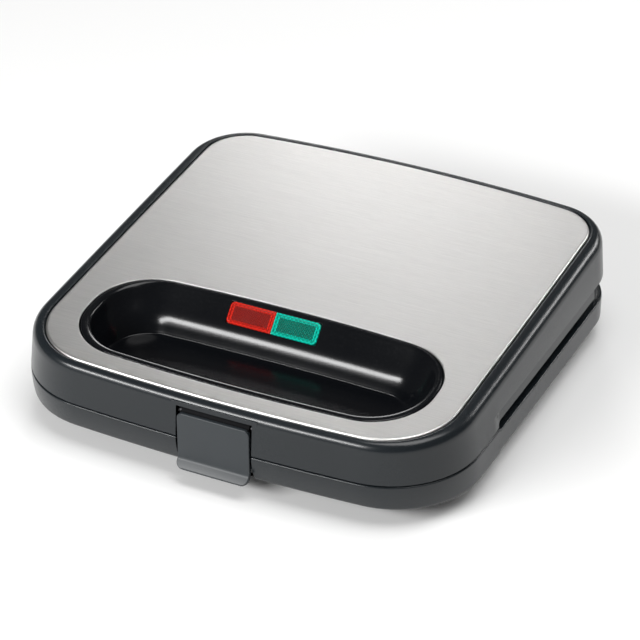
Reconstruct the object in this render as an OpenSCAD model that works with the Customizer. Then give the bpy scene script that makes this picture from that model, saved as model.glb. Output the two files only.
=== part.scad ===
// Two-slice sandwich toaster: a lid on a rear hinge, closed by a front latch.
// Millimetres. +Z up, the front faces -Y, the origin is on the table under the middle of the body.

/* [Body] */
// Width over the parting line between lid and base
body_w = 238; // [236:1:244]
// Depth over the parting line
body_d = 238; // [236:0.2:242]
// Corner radius at the front
front_r = 46.5; // [42:0.2:50]
// Corner radius at the rear
rear_r = 34.4; // [31:0.5:38]
// How far the front edge bows outwards
front_bow = 5.9; // [4:0.1:7]
// How far the rear edge bows outwards
rear_bow = 7; // [5:0.1:8]
// How far the side edges bow outwards
side_bow = 0.5; // [0.3:0.1:1]
// Height of the top face above the table, at the middle of the body
top_h = 52.5; // [51:0.5:58]
// Angle by which the top face rises towards the rear
top_tilt = 2.8; // [2:0.1:4]
// Wall thickness of the casings
wall = 2.5; // [2:0.1:3]
// Height of the lower rim of the base above the table
rim_z = 10; // [9:0.2:10.6]
// Height of the base's front edge, where the lid meets it
part_z = 24.8; // [24.4:0.1:25.4]
// Gap between two casings that meet
seam = 0.3; // [0.2:0.05:0.5]

/* [Top edge] */
// Distance in plan from the steel's edge to the body's side
rim_side = 10; // [9:0.5:11]
// Distance in plan from the steel's edge to the body's front
rim_front = 6.8; // [6.4:0.1:8]
// Distance in plan from the steel's edge to the body's rear
rim_rear = 6.8; // [6.4:0.1:8]
// Depth of the rounded edge round the lid's top
round_h = 5.8; // [5:0.1:6.5]
// Width of the groove round the steel
groove_w = 0.9; // [0.6:0.1:1.2]
// Depth of the groove round the steel
groove_h = 1.8; // [1.4:0.1:2]

/* [Side slot] */
// Height of the base's side edge
ledge_z = 22.4; // [22.2:0.1:23]
// Open height between base and lid along the sides
slot_h = 5.4; // [4.5:0.1:6]
// Height of the stepped band above the slot
band_h = 6.5; // [5.5:0.1:7]
// How far the band stands back from the lid's wall
band_in = 1; // [0.6:0.1:1.4]
// Distance from the body's front to the slot's front end
slot_front = 73; // [69:0.5:77]
// Distance from the body's rear to the band's rear end
slot_rear = 41; // [39:0.5:45]
// How far the base's side wall stands back from its front corners
side_in = 0.8; // [0.5:0.1:1.2]
// How far the base's front wall draws in at its lower rim
front_in = 3.6; // [2.5:0.1:4.5]

/* [Steel cover] */
// Thickness of the steel sheet
steel_t = 0.7; // [0.5:0.05:0.9]
// Height of its turned-down edge
steel_edge = 1.5; // [1.2:0.1:1.7]

/* [Handle recess] */
// Length of the opening in the steel
recess_w = 187.6; // [182:0.2:192]
// Depth of the opening in the steel, front to rear
recess_d = 72.2; // [70:0.2:74]
// Steel left in front of the opening
recess_front = 10.3; // [9:0.2:12]
// How far the opening's long edges bow outwards
recess_bow = 4.3; // [3:0.1:5]
// Height of the recess's floor above the table
recess_floor = 29.6; // [29.4:0.1:31]
// Wall thickness of the recess
recess_wall = 2; // [1.6:0.1:2.2]

/* [Lenses] */
// Width of one lens
lens_w = 24.7; // [22:0.1:26]
// Height of a lens along the slope
lens_h = 11.3; // [10:0.1:11.6]
// Middle of the lens pair, left or right of the centre line
lens_x = -6.7; // [-10:0.1:10]
// How far a lens stands out of the slope
lens_out = 0.5; // [0.3:0.1:0.8]
// Thickness of a lens
lens_t = 3; // [2.6:0.1:3.4]

/* [Latch] */
// Width of the latch
latch_w = 38.4; // [34:0.2:42]
// Middle of the latch, left or right of the centre line
latch_x = 2.2; // [-4:0.1:6]
// Height of the latch's upper edge
latch_top = 39.2; // [38.6:0.1:39.6]
// Height of the latch's lower lip
latch_low = 8.4; // [8:0.2:9.6]
// Thickness of the latch's plate
latch_t = 2.2; // [1.8:0.1:2.4]
// How far the lower lip reaches in front of the body
lip_out = 5.8; // [5:0.1:6.6]
// Gap between the latch and its notch
latch_gap = 1; // [0.8:0.1:1.2]
// Diameter of the latch's pin
latch_pin_d = 3; // [2.6:0.1:3]

/* [Hinge] */
// Distance of the hinge's axis from the body's rear
hinge_in = 10.2; // [10:0.1:11]
// Height of the hinge's axis
hinge_z = 34; // [33.6:0.1:34.6]
// Middle of each hinge, left and right
hinge_x = 40; // [36:0.5:44]
// Diameter of a hinge pin
hinge_pin_d = 4; // [3.4:0.1:4.4]
// Radius of the hinge's ears
ear_r = 5; // [4.4:0.1:5.2]
// Width of the lid's lug in each hinge
lug_w = 8; // [7:0.2:9]
// Width of each ear of the base
ear_w = 5; // [4:0.2:6]
// Radius of the lid's apron behind the hinge
apron_r = 9.4; // [8.8:0.1:9.6]

/* [Cooking plates] */
// Width of a plate over its flange
plate_w = 220; // [216:1:222]
// Depth of a plate over its flange
plate_d = 126; // [122:1:126]
// Height at which the two plates meet
plate_z = 25; // [24.9:0.05:25.2]
// Depth of a pocket
pocket_h = 8; // [7:0.2:8.2]
// Thickness of the casting under a pocket
plate_t = 2.5; // [2:0.1:2.8]
// Width of the ridge between two pockets
ridge_w = 4; // [3:0.2:6]
// Diameter of the heating tube
tube_d = 6; // [5:0.1:6]

/* [Feet and cord inlet] */
// Diameter of a foot
foot_d = 16; // [12:1:20]
// Height of a foot
foot_h = 4.3; // [3.8:0.1:4.6]
// Distance between the feet, left to right
foot_x = 156; // [140:1:164]
// Distance from the body's front to the front feet
foot_front = 57; // [53:1:69]
// Distance from the body's rear to the rear feet
foot_rear = 33; // [32:1:39]
// Bore for the mains cord
cord_d = 7.2; // [6:0.1:7.6]
// Place of the cord inlet, left of the centre line
gland_x = 74; // [70:1:78]

/* [Hidden] */
$fn = 48;
far = 400;
slip = 0.05;
fit = 0.02;
print_gap = 0.1;
seat = 0.1;

// Outlines, each [half width, front, rear, front radius, rear radius, front, rear and side bow]
half_w = body_w / 2;
half_d = body_d / 2;
part_o = [half_w, -half_d, half_d, front_r, rear_r, front_bow, rear_bow, side_bow];
steel_o = [half_w - rim_side, rim_front - half_d, half_d - rim_rear, front_r - rim_side,
    rear_r - rim_side - 1.5, front_bow - 1, rear_bow, side_bow];
base_o = [half_w, front_in - half_d, half_d - 2, front_r - 2, rear_r - 2, front_bow, rear_bow, side_bow];
recess_r = recess_d / 2;
recess_y = steel_o[1] + recess_front + recess_r;

slot_y = slot_front - half_d;
band_y = half_d - slot_rear;

// Heights
tan_tilt = tan(top_tilt);
slot_z = ledge_z + slot_h;
step_z = slot_z + band_h;
deck_z = ledge_z - 0.4;
deck_t = 2;
roof_t = 3;
cover_t = 2;
cover_z = rim_z + 0.5;
pan_z = foot_h + seat;

// Hinge and latch
hinge_y = half_d - hinge_in;
ear_gap = seam;
latch_pin_y = -half_d + 5.2;
latch_pin_z = latch_top - 1.2;
cheek_x = latch_w / 2 + latch_gap;
cheek_t = 2.5;
bend_r = 3.2;
bend_a = 80;

// Middle of the whole object, front to rear, with the latch's lip in front
latch_face = -half_d - 0.1;
y_shift = lip_out / 2;

// Cooking plates
plate_y = recess_y + recess_r - 1.2 + plate_d / 2;
flange_t = 2.65;
body_in = 6;
body_r = 8;
low_top = plate_z - 0.2;
up_low = plate_z + 0.2;
low_floor = low_top - pocket_h - plate_t;
up_floor = up_low + pocket_h + plate_t;
screw_r = 1.5;
screw_x = plate_w / 2 - 3.2;
screw_y = plate_d / 2 - 12;
leg_x = plate_w / 2 - 48;
leg_front = plate_d / 2 - 29;
leg_bend = 20;
pin_r = 1.6;
shield_t = 0.6;
shield_w = plate_w - 34;
shield_d = plate_d - 30;
post_in = 8;
post_r = 3;
stub_r = 1.4;
low_shield_z = low_floor - tube_d - 1;
up_shield_z = up_floor + tube_d + 0.4;
liner_z = part_z + 0.5;
liner_t = 2;
frame_z = up_low + flange_t + 0.15;
frame_x = half_w - wall - band_in - 1.2;
frame_rear = hinge_y - ear_r - 1.4;
rim_screw_x = half_w - 13.5;
liner_screw_at = [[rim_screw_x, slot_y - 29, liner_z + liner_t, 0], [rim_screw_x, slot_y + 6, liner_z + liner_t, 0],
    [hinge_x + 30, frame_rear - 4.1, frame_z, 1]];

// Side stations where the slot, the band and the base's step begin and end
slot_r = 3;
slot_curve = [0, 0.15, 0.5, 1.1, 1.9, slot_r];
side_y = concat([slot_y - 18, slot_y - 10, slot_y - 5], [for (v = slot_curve) slot_y + v],
    [for (i = [0 : 6]) lerp(slot_y + 10, band_y - 10, i / 6)], [band_y - 0.2, band_y, band_y + 1.5]);
n_front = 8;
n_corner = 9;
n_rear = 7;

function lerp(a, b, t) = a + (b - a) * t;
function top_z(y) = top_h + y * tan_tilt;
function bow_r(half, bow) = (half * half + bow * bow) / (2 * bow);
function bearing(v) = atan2(v[1], v[0]);

// Where two circles cross, on the left or right of the line between their centres
function meet(c1, r1, c2, r2, side) =
    let (v = c2 - c1, l = norm(v), u = v / l, a = (l * l + r1 * r1 - r2 * r2) / (2 * l))
    c1 + u * a + [-u[1], u[0]] * sqrt(r1 * r1 - a * a) * side;

function arc(c, r, a0, a1, n, first, last) =
    [for (i = [first : n - 1 + last]) let (a = lerp(a0, a1, i / n)) c + r * [cos(a), sin(a)]];

// Right half of a bowed rounded rectangle, from the front middle to the rear middle
function half_outline(o, d, ys) =
    let (rf = bow_r(o[0], o[5]), rb = bow_r(o[0], o[6]), rs = bow_r((o[2] - o[1]) / 2, o[7]))
    let (cf = [0, o[1] + rf], cb = [0, o[2] - rb], cs = [o[0] - rs, (o[1] + o[2]) / 2])
    let (kf = meet(cf, rf - o[3], cs, rs - o[3], 1), kb = meet(cb, rb - o[4], cs, rs - o[4], -1))
    let (a1 = bearing(kf - cf), a2 = bearing(kf - cs), a3 = bearing(kb - cs), a4 = bearing(kb - cb))
    concat(arc(cf, rf + d, -90, a1, n_front, 0, 0),
        arc(kf, o[3] + d, a1, a2, n_corner, 0, 1),
        [for (y = ys) [cs[0] + sqrt(pow(rs + d, 2) - pow(y - cs[1], 2)), y]],
        arc(kb, o[4] + d, a3, a4, n_corner, 0, 1),
        arc(cb, rb + d, a4, 90, n_rear, 1, 1));

function mirror_half(h) = concat(h, [for (i = [len(h) - 2 : -1 : 1]) [-h[i][0], h[i][1]]]);
function outline(o, d = 0, ys = side_y) = mirror_half(half_outline(o, d, ys));
function blend(a, b, f) = [for (i = [0 : len(a) - 1]) lerp(a[i], b[i], f[i])];
function lift(pts, z) = [for (i = [0 : len(pts) - 1]) [pts[i][0], pts[i][1], z[i]]];
function below_top(pts, h) = [for (p = pts) [p[0], p[1], top_z(p[1]) - h]];

// Skin over rings of points that run anticlockwise; closed joins the last ring to the first
module loft(rings, closed = false) {
    n = len(rings[0]);
    m = len(rings);
    pts = [for (r = rings) for (p = r) p];
    skin = [for (k = [0 : (closed ? m - 1 : m - 2)]) for (i = [0 : n - 1])
        let (j = (i + 1) % n, a = k * n, b = ((k + 1) % m) * n)
        for (f = [[a + i, b + i, b + j], [a + i, b + j, a + j]]) f];
    caps = closed ? [] : [[for (i = [0 : n - 1]) i], [for (i = [n - 1 : -1 : 0]) (m - 1) * n + i]];
    polyhedron(points = pts, faces = concat(skin, caps), convexity = 6);
}

// Places what is drawn from the given depth under the top face, along that tilted face
module on_top(h = 0) {
    translate([0, 0, top_h - h])
        rotate([top_tilt, 0, 0])
            children();
}

module in_place() {
    translate([0, y_shift, 0])
        children();
}

module rounded(w, d, r) {
    for (sx = [-1, 1])
        for (sy = [-1, 1])
            translate([sx * (w / 2 - r), sy * (d / 2 - r)])
                circle(r = r);
    square([w - 2 * r, d], center = true);
    square([w, d - 2 * r], center = true);
}

module slab(w, d, r, y, z, h) {
    translate([0, y, z])
        linear_extrude(height = h)
            rounded(w, d, r);
}

module block(lo, hi) {
    translate(lo)
        cube(hi - lo);
}

module rod_x(x0, x1, y, z, r) {
    translate([x0, y, z])
        rotate([0, 90, 0])
            cylinder(h = x1 - x0, r = r);
}

module rod_z(x, y, z0, z1, r) {
    translate([x, y, z0])
        cylinder(h = z1 - z0, r = r);
}

module rod(p, q, r) {
    v = q - p;
    translate(p)
        rotate([0, acos(v[2] / norm(v)), atan2(v[1], v[0])])
            cylinder(h = norm(v), r = r);
}

module wire(pts, r = 1) {
    for (i = [0 : len(pts) - 2])
        rod(pts[i], pts[i + 1], r);
    for (i = [1 : len(pts) - 2])
        translate(pts[i])
            sphere(r = r * 1.06, $fn = 24);
}

// Screw whose shank starts at its seat and points up or down
module screw(x, y, z, up, length, r = screw_r, head_r = 2.6) {
    head_h = 1.7;
    translate([x, y, z])
        mirror([0, 0, up ? 0 : 1])
            difference() {
                union() {
                    translate([0, 0, -head_h])
                        cylinder(h = head_h, r = head_r);
                    cylinder(h = length, r = r);
                }
                for (a = [0, 90])
                    translate([0, 0, -head_h])
                        rotate([0, 0, a])
                            cube([head_r * 1.2, 0.7, 1.6], center = true);
            }
}

module both_sides() {
    children();
    mirror([1, 0, 0])
        children();
}

// Lid casing

// Set-back of the side band: none at the front, full from just behind the slot's front end
function band_share(y) = min(1, max(0, (y - slot_y + 5) / 7));
function lid_low_z(y) = y <= slot_y ? part_z + seam
    : y < slot_y + slot_r ? lerp(part_z + seam, slot_z, sqrt(1 - pow((slot_y + slot_r - y) / slot_r, 2)))
    : y < band_y - 0.1 ? slot_z : step_z - 0.5;

function edge_o(t) = lerp(steel_o, part_o, t);
round_t = 0.8;
function wall_ring(d, share, zf) =
    let (a = outline(edge_o(round_t), d), b = outline(part_o, d))
    let (ai = outline(edge_o(round_t), d - band_in), bi = outline(part_o, d - band_in))
    let (s = [for (p = b) share * band_share(p[1])], za = [for (p = a) top_z(p[1]) - round_h])
    let (z = [for (p = b) zf(p[1])], f = [for (i = [0 : len(b) - 1]) (za[i] - z[i]) / (za[i] - part_z)])
    lift(blend(blend(a, ai, s), blend(b, bi, s), f), z);

// Rounded edge from the wall to the lip, as [share of the rim's width, depth]
round_steps = [for (a = [0 : 15 : 75]) [lerp(0.24, round_t, cos(a)), lerp(0.2, round_h, 1 - sin(a))]];

lid_rings = concat(
    [wall_ring(-wall - band_in, 0, function (y) lid_low_z(y)),
     wall_ring(0, 1, function (y) lid_low_z(y)),
     wall_ring(0, 1, function (y) max(step_z - 0.3, lid_low_z(y) + 0.1)),
     wall_ring(0, 0, function (y) step_z)],
    [for (s = round_steps) below_top(outline(edge_o(s[0])), s[1])],
    [below_top(outline(steel_o, groove_w + 1), 0.2),
     below_top(outline(steel_o, groove_w + 0.3), 0.3),
     below_top(outline(steel_o, groove_w), groove_h),
     below_top(outline(steel_o, -1.2), groove_h),
     below_top(outline(steel_o, -1.5), steel_t + slip),
     below_top(outline(steel_o, -5), steel_t + slip),
     below_top(outline(steel_o, -5), steel_t + slip + roof_t),
     below_top(outline(steel_o, 0), steel_t + slip + roof_t + 0.4),
     below_top(outline(edge_o(round_t), -wall - band_in), round_h + 2)]);

// Roof under the steel, with a ledge round the recess
module lid_roof() {
    on_top(steel_t + slip + roof_t - 0.1)
        linear_extrude(height = 1.3)
            difference() {
                polygon(outline(steel_o, -3));
                polygon(recess_outline(-1.6));
            }
    on_top(steel_t + slip + roof_t - 1.2)
        linear_extrude(height = roof_t - 1.3)
            difference() {
                polygon(outline(steel_o, -3));
                polygon(recess_outline(-4));
            }
}

function roof_low(y) = top_z(y) - steel_t - slip - roof_t + 0.6;

module lid_bosses() {
    for (p = liner_screw_at)
        let (z = p[2] + (p[3] == 0 ? 2 : liner_t) + 0.1)
            rod_z(p[0], p[1], z, roof_low(p[1]), 3.2);
}

module hinge_lug(x) {
    rod_x(x - lug_w / 2, x + lug_w / 2, hinge_y, hinge_z, ear_r);
    block([x - lug_w / 2, hinge_y - ear_r, hinge_z], [x + lug_w / 2, hinge_y + ear_r, roof_low(hinge_y - ear_r)]);
}

// Round apron about the hinge's axis that closes the gap behind the plates
module lid_apron() {
    reach = hinge_x + 40;
    intersection() {
        difference() {
            rod_x(-reach, reach, hinge_y, hinge_z, apron_r);
            rod_x(-far, far, hinge_y, hinge_z, apron_r - 2);
            for (s = [-1, 1])
                block([s * hinge_x - lug_w / 2 - ear_w - 1.5, 0, 0],
                    [s * hinge_x + lug_w / 2 + ear_w + 1.5, far, step_z - 0.6]);
        }
        block([-far, hinge_y + 2, 0], [far, half_d - 1, hinge_z + 2.2]);
    }
}

// Pocket in the lid's front wall that holds the latch and its pin
module latch_pocket() {
    x = cheek_x + cheek_t;
    block([latch_x - x, -half_d + 1.8, part_z + 0.9], [latch_x + x, -half_d + 10.5, latch_top + 5.4]);
}

module latch_notch(x, back, z1) {
    block([latch_x - x, -far, 0], [latch_x + x, -half_d + back, z1]);
}

module lid_shell() {
    color("#3a3d40")
        difference() {
            union() {
                loft(lid_rings, true);
                lid_roof();
                both_sides()
                    lid_bosses();
                both_sides()
                    hinge_lug(hinge_x);
                lid_apron();
                latch_pocket();
            }
            latch_notch(cheek_x, 9, latch_top + 3);
            rod_x(latch_x - cheek_x - cheek_t + 0.4, latch_x + cheek_x + cheek_t - 0.4,
                latch_pin_y, latch_pin_z, latch_pin_d / 2 + fit);
            rod_x(-hinge_x - lug_w, -hinge_x + lug_w, hinge_y, hinge_z, hinge_pin_d / 2 + slip);
            rod_x(hinge_x - lug_w, hinge_x + lug_w, hinge_y, hinge_z, hinge_pin_d / 2 + slip);
            both_sides()
                for (p = liner_screw_at)
                    rod_z(p[0], p[1], 0, p[2] + 9, screw_r + fit);
        }
}

// Steel cover

module steel_cover() {
    color("#c9c7c2")
        on_top(steel_edge)
            difference() {
                linear_extrude(height = steel_edge)
                    polygon(outline(steel_o, 0));
                translate([0, 0, -1])
                    linear_extrude(height = steel_edge - steel_t + 1)
                        polygon(outline(steel_o, -steel_t));
                translate([0, 0, -1])
                    linear_extrude(height = steel_edge + 2)
                        polygon(recess_outline(0));
            }
}

// Handle recess

// The opening drawn in by a rear, end and front inset
function recess_o(rear, end, front) =
    let (yf = recess_y - recess_r + front, yb = recess_y + recess_r - rear, h = (yb - yf) / 2)
    let (bow = recess_bow * pow(h / recess_r, 2), r = 0.99 * h - bow)
    [recess_w / 2 - end, yf, yb, r, r, bow, bow, 0.05];
function recess_ring(rear, end, front) = outline(recess_o(rear, end, front), 0, []);
function recess_outline(inset) = recess_ring(inset, inset, inset);

// Share of the way from the top face to a floor at height z
function sink(pts, share, z) = [for (p = pts) [p[0], p[1], lerp(top_z(p[1]), z, share)]];

// Groove, lip, slope, roll and floor, as [rear, end and front inset, share of the depth]
recess_rows = [[0.9, 0.9, 0.9, 0.085], [1.2, 1.2, 1.2, 0.014], [1.5, 2.3, 2.4, 0.005],
    [1.8, 3.8, 4, 0.013], [2.3, 4.7, 4.9, 0.038], [3.4, 5.3, 5.35, 0.09], [8, 7.1, 5.8, 0.31],
    [12.5, 9.2, 6.1, 0.525], [14.4, 10.3, 6.4, 0.64], [15.9, 11.3, 6.7, 0.76], [16.9, 12.1, 7.1, 0.86],
    [18, 13, 7.9, 0.94], [19.8, 14.7, 9.4, 0.985], [22.6, 17.5, 12, 1]];
lip_rows = 5;
slope_top = recess_rows[lip_rows];
slope_low = recess_rows[lip_rows + 2];

function recess_back() =
    [for (i = [len(recess_rows) - 1 : -1 : lip_rows]) let (r = recess_rows[i], w = recess_wall)
        sink(recess_ring(r[0] - w * 1.1, r[1] - w * 1.1, r[2] - w), min(1, r[3] + 0.035),
            recess_floor - recess_wall)];

slope_y0 = recess_y + recess_r - slope_top[0];
slope_y1 = recess_y + recess_r - slope_low[0];
slope_z0 = lerp(top_z(slope_y0), recess_floor, slope_top[3]);
slope_z1 = lerp(top_z(slope_y1), recess_floor, slope_low[3]);
slope_a = atan2(slope_z0 - slope_z1, slope_y0 - slope_y1);
lens_at = 0.43;

// Frame of the lenses: the sloping wall's middle, z out of the wall
module on_slope() {
    translate([lens_x, lerp(slope_y0, slope_y1, lens_at), lerp(slope_z0, slope_z1, lens_at)])
        rotate([slope_a, 0, 0])
            children();
}

module handle_recess() {
    flange = steel_t + slip;
    color("#101214")
        difference() {
            loft(concat(recess_back(),
                [below_top(recess_outline(-1.1), flange + 1.5),
                 below_top(recess_outline(-3.6), flange + 1.5),
                 below_top(recess_outline(-3.6), flange),
                 below_top(recess_outline(0.5), flange)],
                [for (r = recess_rows) sink(recess_ring(r[0], r[1], r[2]), r[3], recess_floor)]));
            on_slope()
                cube([2 * lens_w + 2 * print_gap, lens_h + 2 * print_gap, 12], center = true);
        }
}

// Lenses and lamps

module lens(side) {
    on_slope()
        translate([side * lens_w / 2 - lens_w / 2 + print_gap / 2, -lens_h / 2, lens_out - lens_t])
            cube([lens_w - print_gap, lens_h, lens_t]);
}

module red_lens() {
    color("#d43a28")
        lens(-1);
}

module green_lens() {
    color("#2f9a52")
        lens(1);
}

holder_z = lens_out - lens_t - 0.2;
holder_h = 11;

module lamp_holder() {
    w = lens_w - 3;
    h = lens_h - 0.4;
    color("#e8e4da")
        on_slope()
            difference() {
                translate([-lens_w - 1.5, -h / 2, holder_z - holder_h])
                    cube([2 * lens_w + 3, h, holder_h]);
                for (s = [-1, 1])
                    translate([s * lens_w / 2 - w / 2, -lens_h / 2 + 1.2, holder_z - holder_h + 1.6])
                        cube([w, lens_h - 2.4, holder_h]);
                for (s = [-1, 1])
                    for (t = [-1, 1])
                        translate([s * lens_w / 2 + t * 1.6, 0, holder_z - holder_h - 1])
                            cylinder(h = 4, r = 0.5);
            }
}

module lamp(side) {
    on_slope()
        translate([side * lens_w / 2, 0, holder_z - holder_h + 1.7]) {
            cylinder(h = 5.2, r = 2.6);
            translate([0, 0, 5.2])
                sphere(r = 2.6);
            for (t = [-1, 1])
                translate([t * 1.6, 0, -3.4])
                    cylinder(h = 3.6, r = 0.4);
        }
}

module red_lamp() {
    color("#f2b09a")
        lamp(-1);
}

module green_lamp() {
    color("#b9e3c4")
        lamp(1);
}

// Lid liner

module liner_profile(y0, y1) {
    intersection() {
        polygon(outline(part_o, -wall - band_in - seam));
        translate([-far, y0])
            square([2 * far, y1 - y0]);
    }
}

module lid_liner() {
    y_plate = plate_y - plate_d / 2 - 1;
    frame_d = frame_rear - y_plate;
    color("#26282a")
        difference() {
            union() {
                translate([0, 0, liner_z])
                    linear_extrude(height = liner_t)
                        liner_profile(-far, slot_y - 1);
                block([-frame_x + 4, slot_y - 2, liner_z], [frame_x - 4, y_plate - 0.1, liner_z + liner_t]);
                block([-frame_x + 4, y_plate - 2.1, liner_z], [frame_x - 4, y_plate - 0.1, frame_z + liner_t]);
                slab(2 * frame_x - 5, frame_d + 2, 18, y_plate + frame_d / 2 - 1, frame_z, liner_t);
                slab(2 * frame_x - 5, frame_d + 2, 18, y_plate + frame_d / 2 - 1, frame_z, 10);
                block([-frame_x, y_plate - 2.1, frame_z], [frame_x, band_y - 6, frame_z + liner_t]);
                both_sides()
                    for (p = liner_screw_at)
                        if (p[3] == 0)
                            rod_z(p[0], p[1], liner_z, p[2] + 2, 4.6);
            }
            slab(2 * frame_x - 8.2, frame_d + 8, 16.4, y_plate + frame_d / 2 - 5.6, frame_z + liner_t, 20);
            slab(plate_w - 2 * body_in + 1.2, plate_d - 2 * body_in + 1.2, body_r + 0.6, plate_y, 0, far);
            block([latch_x - cheek_x - cheek_t - 0.4, -far, 0],
                [latch_x + cheek_x + cheek_t + 0.4, -half_d + 11, far]);
            both_sides()
                for (p = liner_screw_at) {
                    rod_z(p[0], p[1], 0, far, screw_r + 0.3);
                    rod_z(p[0], p[1], p[2] + (p[3] == 0 ? 2.01 : liner_t), far, 3.7);
                    if (p[3] == 0)
                        rod_z(p[0], p[1], 0, p[2], 3);
                }
            both_sides()
                for (t = [-1, 1])
                    rod_z(screw_x, plate_y + t * screw_y, 0, far, screw_r + fit);
        }
}

module liner_screws() {
    color("silver")
        both_sides()
            for (p = liner_screw_at)
                screw(p[0], p[1], p[2], true, 8.5);
}

// Cooking plates

// Rounded triangle inside p, drawn in by d
function tri_ring(p, d, r, z) =
    [for (i = [0 : 2])
        let (a = p[(i + 2) % 3], b = p[i], c = p[(i + 1) % 3])
        let (u = (a - b) / norm(a - b), v = (c - b) / norm(c - b), w = (u + v) / norm(u + v))
        let (k = b + w * (d + r) / sin(acos(u * v) / 2))
        let (a0 = bearing([-u[1], u[0]]), a1 = bearing([v[1], -v[0]]), turn = (a1 - a0 + 720) % 360)
        for (j = [0 : 5]) [k[0] + r * cos(a0 + turn * j / 5), k[1] + r * sin(a0 + turn * j / 5), z]];

pocket_rows = [[-0.4, 0.3], [0.6, -0.25], [1.1, -0.8], [2.4, -0.6 * pocket_h], [3.6, -0.86 * pocket_h],
    [5.6, -pocket_h]];

// Pockets for two sandwiches, each crossed by a ridge, cut downwards from z = 0
module pockets() {
    x0 = ridge_w / 2;
    x1 = plate_w / 2 - body_in - 2.6;
    y1 = plate_d / 2 - body_in - 2.6;
    g = ridge_w / 2 * norm([x1 - x0, 2 * y1]);
    dx = g / (2 * y1);
    dy = g / (x1 - x0);
    near = [[x0, -y1], [x1 - dx, -y1], [x0, y1 - dy]];
    away = [[x1, y1], [x0 + dx, y1], [x1, -y1 + dy]];
    both_sides()
        for (t = [near, away])
            loft([for (i = [len(pocket_rows) - 1 : -1 : 0])
                tri_ring(t, pocket_rows[i][0], 5, pocket_rows[i][1])]);
}

module plate_solid() {
    difference() {
        union() {
            slab(plate_w, plate_d, body_r + body_in / 2, 0, -flange_t, flange_t);
            slab(plate_w - 2 * body_in, plate_d - 2 * body_in, body_r, 0, -pocket_h - plate_t,
                pocket_h + plate_t - 0.5);
        }
        pockets();
        both_sides()
            for (t = [-1, 1])
                rod_z(screw_x, t * screw_y, -flange_t - 1, -0.5, screw_r + fit);
    }
}

// Posts under a plate; their thin ends pass through the shield
module shield_posts(z0, z1, stub0, stub1) {
    both_sides()
        for (t = [-1, 1]) {
            rod_z(shield_w / 2 - post_in, plate_y + t * (shield_d / 2 - post_in), z0, z1, post_r);
            rod_z(shield_w / 2 - post_in, plate_y + t * (shield_d / 2 - post_in), stub0, stub1, stub_r);
        }
}

module lower_plate() {
    color("#1b1b1c") {
        translate([0, plate_y, low_top])
            plate_solid();
        shield_posts(low_shield_z + shield_t + slip, low_floor + 0.5, low_shield_z - 0.3, low_floor);
    }
}

module upper_plate() {
    color("#1b1b1c") {
        translate([0, plate_y, up_low])
            mirror([0, 0, 1])
                plate_solid();
        shield_posts(up_floor - 0.5, up_shield_z - slip, up_floor, up_shield_z + shield_t + 0.3);
    }
}

module lower_plate_screws() {
    color("silver")
        both_sides()
            for (t = [-1, 1])
                screw(screw_x, plate_y + t * screw_y, deck_z - deck_t, true, deck_t + 2.1);
}

module upper_plate_screws() {
    color("silver")
        both_sides()
            for (t = [-1, 1])
                screw(screw_x, plate_y + t * screw_y, frame_z + liner_t, false, liner_t + 2.1);
}

// Heating tubes and shields

module heater(z) {
    r = tube_d / 2;
    front = plate_y - leg_front;
    end = plate_y + plate_d / 2 - body_in - 5;
    rod_x(-leg_x + leg_bend, leg_x - leg_bend, front, z, r);
    both_sides() {
        translate([leg_x - leg_bend, front + leg_bend, z])
            rotate([0, 0, -90])
                rotate_extrude(angle = 90)
                    translate([leg_bend, 0])
                        circle(r = r);
        rod([leg_x, front + leg_bend, z], [leg_x, end, z], r);
        rod([leg_x, end - 0.5, z], [leg_x, end + 5, z], pin_r);
    }
}

module lower_heater() {
    color("#8b8680")
        heater(low_floor - tube_d / 2 - slip);
}

module upper_heater() {
    color("#8b8680")
        heater(up_floor + tube_d / 2 + slip);
}

module shield(z, up) {
    difference() {
        union() {
            slab(shield_w, shield_d, 6, plate_y, z, shield_t);
            difference() {
                slab(shield_w, shield_d, 6, plate_y, up ? z : z - 3, shield_t + 3);
                slab(shield_w - 2 * shield_t, shield_d - 2 * shield_t, 6 - shield_t, plate_y, z - far / 2, far);
                block([-leg_x - 8, plate_y, 0], [leg_x + 8, far, far]);
            }
        }
        both_sides()
            for (t = [-1, 1])
                rod_z(shield_w / 2 - post_in, plate_y + t * (shield_d / 2 - post_in), 0, far, stub_r + 0.15);
    }
}

module lower_shield() {
    color("#b9bbbd")
        shield(low_shield_z, true);
}

module upper_shield() {
    color("#b9bbbd")
        shield(up_shield_z, false);
}

module thermostat() {
    y = plate_y + 8;
    color("#c8c2b4") {
        rod_z(0, y, low_floor - 4.6, low_floor - slip, 8);
        block([-12, y - 3, low_floor - 0.85], [12, y + 3, low_floor - slip]);
        for (s = [-1, 1])
            block([s * 4 - 1.2, y + 7, low_floor - 3.4], [s * 4 + 1.2, y + 13, low_floor - 2.8]);
    }
}

fuse_z = up_floor + tube_d / 2 + slip;

module thermal_fuse() {
    z = fuse_z;
    color("#d8d2c0") {
        rod_x(-6, 6, plate_y, z, 2.2);
        rod_x(-11, 11, plate_y, z, 0.6);
    }
}

module fuse_clip() {
    z = fuse_z;
    color("#9a9c9e")
        difference() {
            union() {
                rod_x(-2.5, 2.5, plate_y, z, 2.9);
                block([-2.5, plate_y - 8, up_floor + slip], [2.5, plate_y + 8, up_floor + 0.75]);
            }
            rod_x(-6, 6, plate_y, z, 2.2 + slip);
        }
}

// Base casing

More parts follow.
